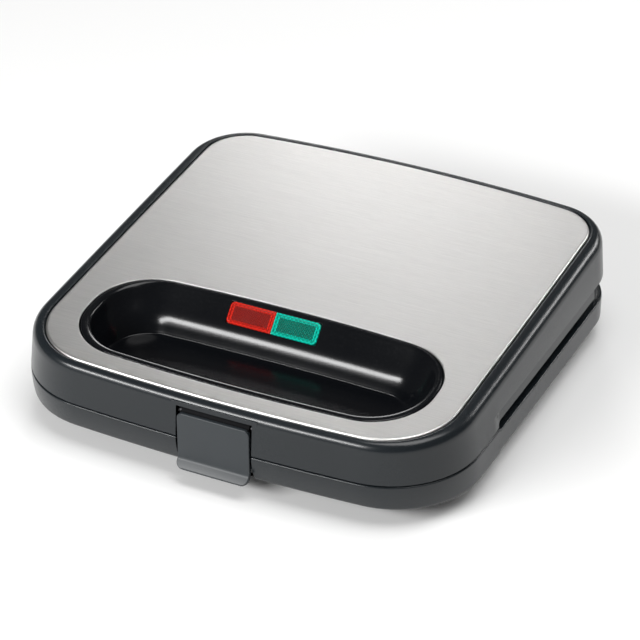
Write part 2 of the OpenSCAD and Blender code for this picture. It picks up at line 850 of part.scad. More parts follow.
function base_top(y) = y <= slot_y ? part_z : ledge_z;
function base_ring(d, f) =
    let (a = outline(base_o, d), b = outline(part_o, d), g = 1 - pow(1 - f, 2))
    let (ai = outline(base_o, d - side_in), bi = outline(part_o, d - side_in))
    let (s = [for (p = b) p[1] <= slot_y ? 0 : 1], gs = [for (p = b) g])
    lift(blend(blend(a, b, gs), blend(ai, bi, gs), s), [for (p = b) lerp(rim_z, base_top(p[1]), f)]);

base_rings = concat(
    [base_ring(-wall, 0), base_ring(-0.9, 0), base_ring(-0.25, 0.03)],
    [for (f = [0.1, 0.25, 0.45, 0.7, 0.96]) base_ring(0, f)],
    [base_ring(-0.5, 1), base_ring(-wall, 1)]);

cover_screw_at = [[half_w - 24, 24 - half_d], [half_w - 24, frame_rear + 2]];
front_screw_y = 21 - half_d;

module base_deck() {
    translate([0, 0, deck_z - deck_t])
        linear_extrude(height = deck_t)
            intersection() {
                polygon(outline(part_o, -2));
                translate([-far, slot_y - 2])
                    square([2 * far, far]);
            }
    translate([0, 0, part_z - 2.4])
        linear_extrude(height = 2.2)
            intersection() {
                polygon(outline(part_o, -2));
                translate([-far, -far])
                    square([2 * far, far + slot_y]);
            }
    block([2 - half_w, slot_y - 2, deck_z - deck_t], [half_w - 2, slot_y, part_z - 0.2]);
}

module hinge_ear(x) {
    rod_x(x - ear_w / 2, x + ear_w / 2, hinge_y, hinge_z, ear_r);
    block([x - ear_w / 2, hinge_y - ear_r, deck_z - 1], [x + ear_w / 2, hinge_y - 1.6, hinge_z]);
}

// Seat behind the latch, with a pocket that its hook reaches into
latch_back = 5.8;
module latch_seat() {
    block([latch_x - cheek_x - 2, -half_d + 2, rim_z], [latch_x + cheek_x + 2, -half_d + 13, part_z - 0.2]);
}

hook_w = 22;
hook_z = 19.4;

// Cord inlet: its wall pad, and the seat that the cover closes from below
gland_z = 15.6;
gland_r = cord_d / 2 + 0.8;
gland_rim = 0.7;
gland_face = half_d - 1.9;
gland_wall = half_d - 7.4;
gland_in = half_d - 9.5;
pad_x = 8;

module base_shell() {
    color("#3a3d40")
        difference() {
            union() {
                loft(base_rings, true);
                base_deck();
                latch_seat();
                both_sides() {
                    for (s = [-1, 1])
                        hinge_ear(hinge_x + s * (lug_w / 2 + ear_gap + ear_w / 2));
                    rod_z(cover_screw_at[0][0], cover_screw_at[0][1], cover_z + cover_t + seat, part_z - 2, 3.5);
                    rod_z(cover_screw_at[1][0], cover_screw_at[1][1], cover_z + cover_t + seat, deck_z - 1, 3.5);
                }
                rod_z(0, front_screw_y, cover_z + cover_t + seat, part_z - 2, 3.5);
                block([-gland_x - pad_x, gland_in, cover_z + cover_t + seat],
                    [-gland_x + pad_x, gland_face, deck_z - 1]);
                block([-gland_x - pad_x, gland_wall, rim_z], [-gland_x + pad_x, gland_face, deck_z - 1]);
            }
            slab(plate_w - 2 * body_in + 1.2, plate_d - 2 * body_in + 1.2, body_r + 0.6, plate_y, 0, far);
            latch_notch(cheek_x, latch_back, far);
            block([latch_x - hook_w / 2 - 1, -half_d, hook_z - 4.5],
                [latch_x + hook_w / 2 + 1, -half_d + 11, hook_z + 0.5]);
            rod([-gland_x, 0, gland_z], [-gland_x, far, gland_z], gland_r + slip);
            rod([-gland_x, gland_in - 2.2, gland_z], [-gland_x, gland_in, gland_z], gland_r + gland_rim + 0.2);
            both_sides() {
                for (p = cover_screw_at)
                    rod_z(p[0], p[1], 0, cover_z + 8, screw_r + fit);
                for (t = [-1, 1])
                    rod_z(screw_x, plate_y + t * screw_y, 0, far, screw_r + 0.2);
                rod_x(hinge_x - lug_w / 2 - ear_w + 0.8, hinge_x + lug_w / 2 + ear_w - 0.8,
                    hinge_y, hinge_z, hinge_pin_d / 2 + fit);
            }
            rod_z(0, front_screw_y, 0, cover_z + 8, screw_r + fit);
        }
}

module hinge_pin(s) {
    l = lug_w / 2 + ear_w - 0.9;
    color("silver")
        rod_x(s * hinge_x - l, s * hinge_x + l, hinge_y, hinge_z, hinge_pin_d / 2);
}

module left_hinge_pin() {
    hinge_pin(-1);
}

module right_hinge_pin() {
    hinge_pin(1);
}

// Underside

pan_y = [41 - half_d, frame_rear - 5.5];
pan_r = 20;
foot_at = [foot_front - half_d, half_d - foot_rear];
pan_w = body_w - 26;

module base_cover() {
    y = (pan_y[0] + pan_y[1]) / 2;
    d = pan_y[1] - pan_y[0];
    color("#2b2d2f")
        difference() {
            union() {
                translate([0, 0, cover_z])
                    linear_extrude(height = cover_t)
                        difference() {
                            polygon(outline(base_o, -wall - side_in - seam));
                            translate([latch_x - cheek_x - 2.6, -half_d - 1])
                                square([2 * cheek_x + 5.2, 14.6]);
                        }
                slab(pan_w, d, pan_r, y, pan_z, cover_z + cover_t - pan_z);
            }
            slab(pan_w - 2 * cover_t, d - 2 * cover_t, pan_r - cover_t, y, pan_z + cover_t, far);
            both_sides() {
                for (p = cover_screw_at)
                    rod_z(p[0], p[1], 0, far, screw_r + 0.2);
                for (y = foot_at)
                    rod_z(foot_x / 2, y, 0, far, screw_r + fit);
            }
            rod_z(0, front_screw_y, 0, far, screw_r + 0.2);
            rod([-gland_x, gland_in - 2.4, gland_z], [-gland_x, far, gland_z], gland_r + gland_rim + seam);
        }
}

module feet() {
    color("#202020")
        both_sides()
            for (y = foot_at)
                translate([foot_x / 2, y, 0])
                    difference() {
                        rotate_extrude()
                            polygon([[0, 0], [foot_d / 2 - 1, 0], [foot_d / 2, 1], [foot_d / 2, foot_h], [0, foot_h]]);
                        translate([0, 0, -1])
                            cylinder(h = foot_h - 0.4, r = 3.4);
                        cylinder(h = far, r = screw_r + 0.1);
                    }
}

module foot_screws() {
    color("silver")
        both_sides()
            for (y = foot_at)
                screw(foot_x / 2, y, foot_h - 1.4, true, 4.2);
}

module cover_screws() {
    color("silver") {
        both_sides()
            for (p = cover_screw_at)
                screw(p[0], p[1], cover_z, true, 7.5);
        screw(0, front_screw_y, cover_z, true, 7.5);
    }
}

// Electrical parts in the base

block_x = [18 - gland_x, 44 - gland_x];
block_y = [frame_rear - 3, frame_rear + 6];
block_z = cover_z + cover_t + seat;

module terminal_block() {
    color("#e9e6df")
        difference() {
            block([block_x[0], block_y[0], block_z], [block_x[1], block_y[1], block_z + 6.4]);
            for (x = [block_x[0] + 5 : 8 : block_x[1]]) {
                rod([x, 0, block_z + 3], [x, far, block_z + 3], 1.3);
                rod_z(x, (block_y[0] + block_y[1]) / 2, block_z + 3, far, 1.6);
            }
        }
}

module cord_gland() {
    color("#1f1f20")
        difference() {
            union() {
                rod([-gland_x, gland_in - 2, gland_z], [-gland_x, gland_face, gland_z], gland_r);
                rod([-gland_x, gland_face, gland_z], [-gland_x, gland_face + 1.9, gland_z], gland_r + gland_rim);
            }
            rod([-gland_x, 0, gland_z], [-gland_x, far, gland_z], cord_d / 2);
        }
}

module gland_ring() {
    y = gland_in - seat;
    color("#2a2a2b")
        difference() {
            rod([-gland_x, y - 1.8, gland_z], [-gland_x, y, gland_z], gland_r + gland_rim);
            rod([-gland_x, 0, gland_z], [-gland_x, far, gland_z], gland_r + fit);
        }
}

module base_leads() {
    rear = plate_y + plate_d / 2 - body_in + 2.6;
    z = low_floor - tube_d / 2 - slip;
    z1 = block_z + 3;
    y0 = block_y[0];
    x = block_x[0] + 5;
    color("#8c3b2e")
        wire([[-leg_x, rear, z + 2], [-leg_x, rear, z1], [-leg_x, y0 - 3, z1], [x, y0 - 3, z1], [x, y0 + 2, z1]]);
    color("#3c5a8c")
        wire([[leg_x, rear, z + 2], [leg_x, rear, z1], [x + 16, rear, z1], [x + 16, y0 + 2, z1]]);
}

module lid_leads() {
    z = fuse_z;
    pin = plate_y + plate_d / 2 - body_in + slip;
    rear = pin + 3;
    side = (plate_y - plate_d / 2 + slope_y1) / 2 + 6;
    holder_x = lens_x - lens_w - 1.5 - seat;
    color("#8c3b2e")
        wire([[11, plate_y, z], [20, plate_y, z], [20, rear, z], [leg_x, rear, z], [leg_x, pin, z]]);
    color("#3c5a8c") {
        wire([[-11, plate_y, z], [-20, plate_y, z], [-20, rear, z], [-leg_x, rear, z], [-leg_x, pin, z]]);
        wire([[-leg_x, rear, z], [-leg_x, rear, z + 7.5], [-leg_x, side, z + 7.5], [-leg_x, side, z + 1.5],
            [holder_x, side, z + 1.5]]);
    }
}

// Latch

lip_l = (lip_out - 0.1 - bend_r * (1 - cos(bend_a))) / sin(bend_a);
bend_z = latch_low + (bend_r + latch_t) * sin(bend_a) + lip_l * cos(bend_a);

module latch_profile() {
    c = [latch_face - bend_r, bend_z];
    tip = -lip_l * [sin(bend_a), cos(bend_a)];
    front = arc(c, bend_r, 0, -bend_a, 10, 0, 1);
    back = arc(c, bend_r + latch_t, -bend_a, 0, 10, 0, 1);
    polygon(concat([[latch_face + 0.7, latch_top], [latch_face, latch_top - 0.7]], front,
        [front[10] + tip, back[0] + tip], back, [[latch_face + latch_t, latch_top]]));
}

module latch() {
    color("#3c3e41")
        translate([latch_x, 0, 0])
            difference() {
                union() {
                    intersection() {
                        translate([-latch_w / 2, 0, 0])
                            rotate([90, 0, 90])
                                linear_extrude(height = latch_w)
                                    latch_profile();
                        translate([0, 0, latch_top / 2])
                            rotate([90, 0, 0])
                                linear_extrude(height = far)
                                    rounded(latch_w, latch_top, 3);
                        translate([0, -half_d - lip_out + 20, 0])
                            linear_extrude(height = far)
                                rounded(latch_w, 40, 4);
                    }
                    rod_x(1 - latch_w / 2, latch_w / 2 - 1, latch_pin_y, latch_pin_z, 2.8);
                    block([1 - latch_w / 2, latch_face + 1, latch_pin_z - 2.4],
                        [latch_w / 2 - 1, latch_pin_y, latch_pin_z + 0.8]);
                    block([-hook_w / 2, latch_face + 1, hook_z - 2.6], [hook_w / 2, -half_d + 9.6, hook_z]);
                    for (s = [-1, 1])
                        block([s * 14 - 0.8, latch_face + 1, hook_z - 3], [s * 14 + 0.8, -half_d + 4.4, latch_pin_z]);
                }
                rod_x(-latch_w, latch_w, latch_pin_y, latch_pin_z, latch_pin_d / 2 + slip);
            }
}

module latch_pin() {
    l = cheek_x + cheek_t - 0.5;
    color("silver")
        rod_x(latch_x - l, latch_x + l, latch_pin_y, latch_pin_z, latch_pin_d / 2);
}

in_place() base_shell();
in_place() base_cover();
in_place() feet();
in_place() foot_screws();
in_place() cover_screws();
in_place() lower_plate();
in_place() lower_plate_screws();
in_place() lower_heater();
in_place() lower_shield();
in_place() thermostat();
in_place() terminal_block();
in_place() cord_gland();
in_place() gland_ring();
in_place() base_leads();
in_place() left_hinge_pin();
in_place() right_hinge_pin();
in_place() lid_shell();
in_place() steel_cover();
in_place() handle_recess();
in_place() lid_liner();
in_place() liner_screws();
in_place() upper_plate();
in_place() upper_plate_screws();
in_place() upper_heater();
in_place() upper_shield();
in_place() thermal_fuse();
in_place() fuse_clip();
in_place() lid_leads();
in_place() lamp_holder();
in_place() red_lamp();
in_place() green_lamp();
in_place() red_lens();
in_place() green_lens();
in_place() latch();
in_place() latch_pin();
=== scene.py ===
from math import acos, atan2, cos, hypot, pi, radians, sin, sqrt, tan, tau

import bmesh
import bpy
import numpy as np
from mathutils import Matrix, Vector


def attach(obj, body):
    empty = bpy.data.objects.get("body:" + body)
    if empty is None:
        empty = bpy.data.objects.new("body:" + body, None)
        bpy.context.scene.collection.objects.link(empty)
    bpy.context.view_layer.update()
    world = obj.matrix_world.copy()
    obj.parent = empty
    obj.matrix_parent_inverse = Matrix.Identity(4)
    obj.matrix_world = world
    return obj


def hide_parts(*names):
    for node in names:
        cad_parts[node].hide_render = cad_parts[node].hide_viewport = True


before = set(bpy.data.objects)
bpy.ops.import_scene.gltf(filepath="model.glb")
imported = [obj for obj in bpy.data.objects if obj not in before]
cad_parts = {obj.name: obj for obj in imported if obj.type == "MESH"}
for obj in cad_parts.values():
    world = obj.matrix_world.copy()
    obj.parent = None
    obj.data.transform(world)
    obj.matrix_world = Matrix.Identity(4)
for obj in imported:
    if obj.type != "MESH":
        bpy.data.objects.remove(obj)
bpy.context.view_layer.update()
print("frame loaded:", len(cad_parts), "nodes")

# Millimetres below, in the body's own plan; the frame's origin lies a little further forward
mm = 0.001
planShift = 2.9


def newObject(name, data):
    made = bpy.data.objects.new(name, data)
    bpy.context.scene.collection.objects.link(made)
    return made


# Camera

cameraSet = {
    "lens": 172.63, "sensor": 36.0, "azimuth": 26.21, "elevation": 32.55, "roll": 0.29,
    "target": (9.15, -17.56 + planShift, 40.0), "distance": 1519.28,
}


def makeCamera(s):
    a, e = radians(s["azimuth"]), radians(s["elevation"])
    back = Vector((sin(a) * cos(e), -cos(a) * cos(e), sin(e)))
    data = bpy.data.cameras.new("photoCamera")
    data.lens, data.sensor_width = s["lens"], s["sensor"]
    data.clip_start, data.clip_end = 0.05, 20
    camera = newObject("photoCamera", data)
    camera.rotation_mode = "QUATERNION"
    turn = (-back).to_track_quat("-Z", "Y")
    camera.rotation_quaternion = turn @ Matrix.Rotation(radians(-s["roll"]), 3, "Z").to_quaternion()
    camera.location = Vector(s["target"]) * mm + back * s["distance"] * mm
    bpy.context.scene.camera = camera


makeCamera(cameraSet)
print("camera placed")


# Nodes

def feed(tree, socket, value):
    value = getattr(value, "socket", value)
    if isinstance(value, bpy.types.NodeSocket):
        tree.links.new(value, socket)
    else:
        socket.default_value = value


def add(tree, kind, settings=None, **inputs):
    # one node; i0, i1 and so on give a socket's place, any other word its name
    made = tree.nodes.new(kind)
    for key, value in (settings or {}).items():
        setattr(made, key, value)
    for key, value in inputs.items():
        byPlace = key[0] == "i" and key[1:].isdigit()
        feed(tree, made.inputs[int(key[1:]) if byPlace else key.replace("_", " ")], value)
    return made


# Materials

class Wire:
    # a node's output; an expression on it adds Math nodes
    def __init__(self, look, socket):
        self.look, self.socket = look, socket

    def sum(self, kind, a, b=0.0, clamp=False):
        return self.look.node("ShaderNodeMath", {"operation": kind, "use_clamp": clamp}, i0=a, i1=b)

    def __add__(self, other):
        return self.sum("ADD", self, other)

    def __radd__(self, other):
        return self.sum("ADD", other, self)

    def __sub__(self, other):
        return self.sum("SUBTRACT", self, other)

    def __rsub__(self, other):
        return self.sum("SUBTRACT", other, self)

    def __mul__(self, other):
        return self.sum("MULTIPLY", self, other)

    def __pow__(self, other):
        return self.sum("POWER", self, other)

    def clamped(self):
        return self.sum("ADD", self, 0.0, True)


def shade(color, share, lift=0.0):
    return [min(1, c * share + lift) for c in color]


class Look:
    # one material: fixed values go straight on the shader's sockets
    def __init__(self, name, color, rough, **fixed):
        self.material = bpy.data.materials.new(name)
        self.material.use_nodes = True
        self.tree = self.material.node_tree
        self.shader = self.tree.nodes["Principled BSDF"]
        self.shader.inputs["Base Color"].default_value = (*color, 1)
        self.shader.inputs["Roughness"].default_value = rough
        for key, value in fixed.items():
            self.shader.inputs[key.replace("_", " ")].default_value = value
        self.material.diffuse_color = (*color, 1)

    def node(self, kind, settings=None, out=0, **inputs):
        return Wire(self, add(self.tree, kind, settings, **inputs).outputs[out])

    def place(self, scale=(1, 1, 1), turn=(0, 0, 0)):
        spot = self.node("ShaderNodeTexCoord", out="Object")
        return self.node("ShaderNodeMapping", Vector=spot, Scale=scale, Rotation=turn)

    def noise(self, vector, scale, detail=3, rough=0.5):
        return self.node("ShaderNodeTexNoise", Vector=vector, Scale=scale, Detail=detail, Roughness=rough)

    def mix(self, factor, a, b):
        a, b = [v if isinstance(v, Wire) else (*v, 1) for v in (a, b)]
        return self.node("ShaderNodeMix", {"data_type": "RGBA"}, 2, Factor=factor, i6=a, i7=b)

    def bevel(self, radius):
        return self.node("ShaderNodeBevel", {"samples": 4}, Radius=radius)

    def edges(self, radius):
        # 1 on edges that stick out, 0 on flat parts
        flat = self.node("ShaderNodeNewGeometry", out="Normal")
        dot = self.node("ShaderNodeVectorMath", {"operation": "DOT_PRODUCT"}, "Value",
                        i0=self.bevel(radius), i1=flat)
        return ((1 - dot) * 6).clamped()

    def finish(self, color, rough, height=None, strength=0.0, distance=0.0, edge=None):
        # colour and roughness, then a bump over edges that look rounded by a radius
        sockets = self.shader.inputs
        feed(self.tree, sockets["Base Color"], color)
        feed(self.tree, sockets["Roughness"], rough)
        if height:
            under = {"Normal": self.bevel(edge)} if edge else {}
            feed(self.tree, sockets["Normal"], self.node(
                "ShaderNodeBump", Height=height, Strength=strength, Distance=distance, **under))
        return self.material


def mouldedPlastic(name, color, rough, grain=0.05, wear=0.02, spec=0.5):
    # moulded plastic: a fine even grain, cloudy gloss and slightly paler rubbed edges
    look = Look(name, color, rough, Specular_IOR_Level=spec)
    place = look.place()
    fine, cloud = look.noise(place, 2600, 3, 0.6), look.noise(place, 26)
    tone = look.mix(cloud, shade(color, 0.86), shade(color, 1.14))
    rubbed = look.edges(0.0006) * wear * cloud * 2
    return look.finish(look.mix(rubbed, tone, shade(color, 2, 0.06)),
                       (rough - 0.05) + cloud * 0.06 + fine * 0.05, fine, grain, 0.0002, 0.00025)


steelLook = {"color": (0.70, 0.69, 0.675), "rough": 0.40, "grain": 0.6}


def brushedSteel(s):
    # grain runs left to right in short strokes, with a few longer, brighter ones
    look = Look("brushedSteel", s["color"], s["rough"], Metallic=1.0)
    stroke = look.noise(look.place((14, 900, 900)), 9, 4, 0.65)
    longStroke = look.noise(look.place((4, 420, 420)), 7, 2)
    blotch = look.noise(look.place(), 14, 2)
    grain = stroke * 0.65 + longStroke * 0.35
    return look.finish(look.mix(grain, shade(s["color"], 0.68), shade(s["color"], 1.28)),
                       (s["rough"] - 0.09) + grain * 0.14 + blotch * 0.04, grain, s["grain"], 0.00012, 0.0004)


def glossBlack():
    black = (0.0025, 0.003, 0.004)
    look = Look("recessBlack", black, 0.17, Specular_IOR_Level=0.3)
    place = look.place()
    cloud, dust = look.noise(place, 30), look.noise(place, 900, 2) ** 6
    return look.finish(look.mix(dust * 0.3, black, (0.04, 0.04, 0.045)), 0.14 + cloud * 0.05 + dust * 0.2,
                       cloud, 0.04, 0.0004, 0.0003)


# glow: strength of the lenses' painted glow, an emission with no lamp behind it
lensLook = {"lean": 0.75, "cells": 640.0, "glow": 0.12}


def clearLens(name, deep, bright, glow, s=lensLook):
    # dyed clear plastic over a ribbed back: a small diamond pattern, painted shade darkening the rounded edge,
    # and a painted glow, a weak emission that lights the lens as if a lamp behind it were on
    look = Look(name, bright, 0.16, Specular_IOR_Level=0.4, Coat_Weight=0.3, Coat_Roughness=0.08,
                Emission_Strength=s["glow"])
    cloud = look.noise(look.place(), 180, 2)
    cell = look.node("ShaderNodeTexVoronoi", {"voronoi_dimensions": "2D"}, "Distance", Scale=s["cells"],
                     Randomness=0.0, Vector=look.place(turn=(-s["lean"], 0, pi / 4)))
    tone = look.mix((cell * 1.5 + cloud * 0.4 - 0.3).clamped(), bright, deep)
    # painted glow: emission in the lens colour, with no lamp to give it
    feed(look.tree, look.shader.inputs["Emission Color"], look.mix(cloud, shade(glow, 0.5), glow))
    # painted shade: the rounded rim is mixed towards a much darker red or green
    return look.finish(look.mix(look.edges(0.0009), tone, shade(deep, 0.2)), 0.12 + cloud * 0.1,
                       cloud, 0.05, 0.0002)


def plateCoating():
    look = Look("plateCoating", (0.014, 0.014, 0.015), 0.38, Specular_IOR_Level=0.55)
    place = look.place()
    fleck, cloud = look.noise(place, 1800, 2), look.noise(place, 22, 3, 0.6)
    spark = ((fleck ** 9) * 6).clamped()
    return look.finish(look.mix(spark, (0.013, 0.013, 0.014), (0.10, 0.10, 0.10)),
                       0.30 + cloud * 0.14 + fleck * 0.06, fleck, 0.10, 0.0003, 0.0005)


def plainMetal(name, color, rough, grain=(1, 1, 1)):
    look = Look(name, color, rough, Metallic=1.0)
    stroke, cloud = look.noise(look.place(grain), 700, 3, 0.6), look.noise(look.place(), 60)
    return look.finish(look.mix(cloud, shade(color, 0.82), color),
                       (rough - 0.08) + stroke * 0.12 + cloud * 0.06, stroke, 0.06, 0.0001, 0.0002)


def heaterSheath():
    look = Look("heaterSheath", (0.30, 0.27, 0.24), 0.45, Metallic=0.85)
    cloud = look.noise(look.place((1, 3, 1)), 55, 4, 0.6)
    tone = look.node("ShaderNodeValToRGB", Fac=cloud)
    ramp = tone.socket.node.color_ramp
    ramp.elements.new(0.5)
    for element, place, color in zip(ramp.elements, (0.30, 0.52, 0.72), (
            (0.10, 0.09, 0.085), (0.30, 0.26, 0.22), (0.36, 0.30, 0.33))):
        element.position, element.color = place, (*color, 1)
    return look.finish(tone, 0.34 + cloud * 0.25, cloud, 0.1, 0.0003)


def softRubber(name, color, rough=0.75):
    look = Look(name, color, rough, Specular_IOR_Level=0.3)
    place = look.place()
    fine, cloud = look.noise(place, 1400, 3, 0.6), look.noise(place, 45)
    return look.finish(look.mix(cloud, shade(color, 0.8), shade(color, 1.3, 0.006)), rough - 0.1 + cloud * 0.15,
                       fine, 0.15, 0.0003)


def lampGlass(name, color):
    look = Look(name, color, 0.06, Transmission_Weight=0.55, IOR=1.48)
    cloud = look.noise(look.place(), 300, 2)
    return look.finish(look.mix(cloud, shade(color, 0.8), color), 0.04 + cloud * 0.06)


materials = {
    "case": mouldedPlastic("caseBlack", (0.009, 0.012, 0.0145), 0.26, 0.03, spec=0.45),
    "recess": glossBlack(),
    "steel": brushedSteel(steelLook),
    "latch": mouldedPlastic("latchGrey", (0.021, 0.026, 0.030), 0.42, 0.06),
    "inner": mouldedPlastic("innerBlack", (0.017, 0.018, 0.019), 0.48, 0.12),
    # a matt black moulding, darkened further as painted shade so the latch's barrel and hook read as the shaded
    # gap above the plate
    "matt": mouldedPlastic("gapShadeMattBlack", (0.005, 0.005, 0.006), 0.7, 0.05, spec=0.12),
    "darkPin": plainMetal("blackenedSteel", (0.09, 0.09, 0.095), 0.45),
    "plate": plateCoating(),
    "red": clearLens("redLensClear", (0.36, 0.010, 0.006), (0.95, 0.030, 0.014), (0.5, 0.02, 0.01)),
    "green": clearLens("greenLensClear", (0.0005, 0.26, 0.19), (0.001, 0.85, 0.64), (0.001, 0.2, 0.12)),
    "screw": plainMetal("screwSteel", (0.62, 0.61, 0.60), 0.28),
    "sheet": plainMetal("brightSheet", (0.78, 0.79, 0.80), 0.24, (1, 30, 1)),
    "sheath": heaterSheath(),
    "rubber": softRubber("rubberBlack", (0.018, 0.018, 0.019)),
    "pale": mouldedPlastic("paleInsulator", (0.66, 0.63, 0.56), 0.5, 0.08),
    "lamp": lampGlass("lampGlass", (0.95, 0.72, 0.60)),
    "sleeve": softRubber("leadSleeve", (0.24, 0.03, 0.02), 0.55),
}
print("materials made:", len(materials))


# Outlines

# half width, front, rear, front radius, rear radius, front, rear and side bow
partLine = np.array([119, -119, 119, 46.5, 34.4, 5.9, 7, 0.5])
steelLine = np.array([109, -112.2, 112.2, 36.5, 22.9, 4.9, 7, 0.5])
baseLine = np.array([119, -115.4, 117, 44.5, 32.4, 5.9, 7, 0.5])
tilt = tan(radians(2.8))
topHeight = 52.5


def topAt(y):
    return topHeight + y * tilt


def bowRadius(half, bow):
    return (half * half + bow * bow) / (2 * bow)


def meet(c1, r1, c2, r2, side):
    # where two circles cross
    v = c2 - c1
    reach = hypot(*v)
    u = v / reach
    a = (reach ** 2 + r1 ** 2 - r2 ** 2) / (2 * reach)
    return c1 + u * a + np.array([-u[1], u[0]]) * sqrt(r1 ** 2 - a ** 2) * side


def arcPoints(c, r, a0, a1, steps):
    t = np.asarray(steps)
    a = a0 + (a1 - a0) * t
    return np.stack([c[0] + r * np.cos(a), c[1] + r * np.sin(a)], 1)


def outline(o, d=0.0, sides=(), nFront=19, nCorner=18, nRear=16):
    # bowed rounded rectangle, pushed out by d, anticlockwise from the front middle
    rf, rb, rs = bowRadius(o[0], o[5]), bowRadius(o[0], o[6]), bowRadius((o[2] - o[1]) / 2, o[7])
    cf, cb = np.array([0, o[1] + rf]), np.array([0, o[2] - rb])
    cs = np.array([o[0] - rs, (o[1] + o[2]) / 2])
    kf, kb = meet(cf, rf - o[3], cs, rs - o[3], 1), meet(cb, rb - o[4], cs, rs - o[4], -1)
    a1, a2, a3, a4 = [atan2(v[1], v[0]) for v in (kf - cf, kf - cs, kb - cs, kb - cb)]
    y = np.asarray(sides, float)
    side = np.stack([cs[0] + np.sqrt((rs + d) ** 2 - (y - cs[1]) ** 2), y], 1) if len(y) else np.zeros((0, 2))
    half = np.concatenate([
        arcPoints(cf, rf + d, -pi / 2, a1, np.arange(nFront) / nFront),
        arcPoints(kf, o[3] + d, a1, a2, np.arange(nCorner + 1) / nCorner),
        side,
        arcPoints(kb, o[4] + d, a3, a4, np.arange(nCorner + 1) / nCorner),
        arcPoints(cb, rb + d, a4, pi / 2, np.arange(1, nRear + 1) / nRear)])
    return np.concatenate([half, (half[1:-1] * [-1, 1])[::-1]])


def ringAt(points, z):
    return np.column_stack([points, np.broadcast_to(z, len(points))])


def underTop(points, depth):
    return ringAt(points, topAt(points[:, 1]) - depth)


# Meshes

boxFaces = [[0, 2, 3, 1], [4, 5, 7, 6], [0, 1, 5, 4], [2, 6, 7, 3], [0, 4, 6, 2], [1, 3, 7, 5]]


class Shape:
    # points in millimetres and faces, gathered into one mesh
    def __init__(self):
        self.points, self.faces = [], []

    def add(self, points, faces):
        start = len(self.points)
        self.points.extend([tuple(p) for p in points])
        self.faces.extend([[start + i for i in f] for f in faces])
        return self

    def loft(self, rings, closed=False, capStart=False, capEnd=False):
        n, m = len(rings[0]), len(rings)
        faces = []
        for k in range(m if closed else m - 1):
            a, b = k * n, ((k + 1) % m) * n
            faces += [[a + i, a + (i + 1) % n, b + (i + 1) % n, b + i] for i in range(n)]
        if capStart:
            faces.append(list(range(n))[::-1])
        if capEnd:
            faces.append([(m - 1) * n + i for i in range(n)])
        return self.add(np.concatenate(rings), faces)

    def capped(self, rings):
        return self.loft(rings, capStart=True, capEnd=True)

    def box(self, lo, hi):
        (x0, y0, z0), (x1, y1, z1) = lo, hi
        return self.add([(x, y, z) for z in (z0, z1) for y in (y0, y1) for x in (x0, x1)], boxFaces)

    def rodX(self, x0, x1, y, z, r, n=40):
        a = np.arange(n) * 2 * pi / n
        rings = [np.column_stack([np.full(n, x), y + r * np.cos(a), z + r * np.sin(a)]) for x in (x0, x1)]
        return self.capped(rings)

    def sheetWithHoles(self, outer, holes, height):
        # flat or sloping sheet between closed loops; height gives z at y
        bm = bmesh.new()
        for loop in [outer] + list(holes):
            verts = [bm.verts.new((p[0], p[1], 0)) for p in loop]
            for a, b in zip(verts, verts[1:] + verts[:1]):
                bm.edges.new((a, b))
        bmesh.ops.triangle_fill(bm, use_beauty=True, edges=bm.edges[:], normal=(0, 0, 1))
        bm.verts.index_update()
        points = [(v.co.x, v.co.y, height(v.co.y)) for v in bm.verts]
        faces = []
        for f in bm.faces:
            ids = [v.index for v in f.verts]
            faces.append(ids if f.normal.z > 0 else ids[::-1])
        bm.free()
        return self.add(points, faces)

    def mesh(self, name):
        bm = bmesh.new()
        for p in self.points:
            bm.verts.new((p[0] * mm, (p[1] + planShift) * mm, p[2] * mm))
        bm.verts.ensure_lookup_table()
        for f in self.faces:
            bm.faces.new([bm.verts[i] for i in f])
        bmesh.ops.remove_doubles(bm, verts=bm.verts[:], dist=2e-7)
        data = bpy.data.meshes.new(name)
        bm.to_mesh(data)
        bm.free()
        return data


def smoothUp(data, angle=32):
    # smooth shading, with every edge sharper than the angle kept crisp
    bm = bmesh.new()
    bm.from_mesh(data)
    limit = radians(angle)
    for f in bm.faces:
        f.smooth = True
    for e in bm.edges:
        e.smooth = len(e.link_faces) == 2 and e.calc_face_angle(0) < limit
    bm.to_mesh(data)
    bm.free()


def settle(obj):
    # the evaluated mesh takes the modifiers' place
    bpy.context.view_layer.update()
    graph = bpy.context.evaluated_depsgraph_get()
    data = bpy.data.meshes.new_from_object(obj.evaluated_get(graph))
    obj.modifiers.clear()
    obj.data = data
    return obj


def carve(obj, cutters):
    for n, cutter in enumerate(cutters):
        m = obj.modifiers.new("cut%d" % n, "BOOLEAN")
        m.operation, m.object, m.solver = "DIFFERENCE", cutter, "EXACT"
    settle(obj)
    for cutter in cutters:
        bpy.data.objects.remove(cutter)
    return obj


def rounded(obj, width, segments, angle=40):
    m = obj.modifiers.new("edge", "BEVEL")
    m.width, m.segments, m.limit_method, m.angle_limit = width * mm, segments, "ANGLE", radians(angle)
    return settle(obj)


def join(obj, others):
    bm = bmesh.new()
    for o in [obj] + others:
        bm.from_mesh(o.data)
    bm.to_mesh(obj.data)
    bm.free()
    for o in others:
        bpy.data.objects.remove(o)
    return obj


def tube(place, rows, n):
    # rings about an upright axis from (radius, height) rows
    a = np.arange(n) * tau / n
    return [np.column_stack([place[0] + r * np.cos(a), place[1] + r * np.sin(a), np.full(n, z)])
            for r, z in rows]


def piece(obj, body, material, nodes, angle=32):
    # the last step for every piece: finish, body and the solids it stands for
    obj.data.materials.clear()
    obj.data.materials.append(materials[material])
    obj.data.polygons.foreach_set("material_index", [0] * len(obj.data.polygons))
    smoothUp(obj.data, angle)
    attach(obj, body)
    if nodes:
        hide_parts(*nodes)
    return obj


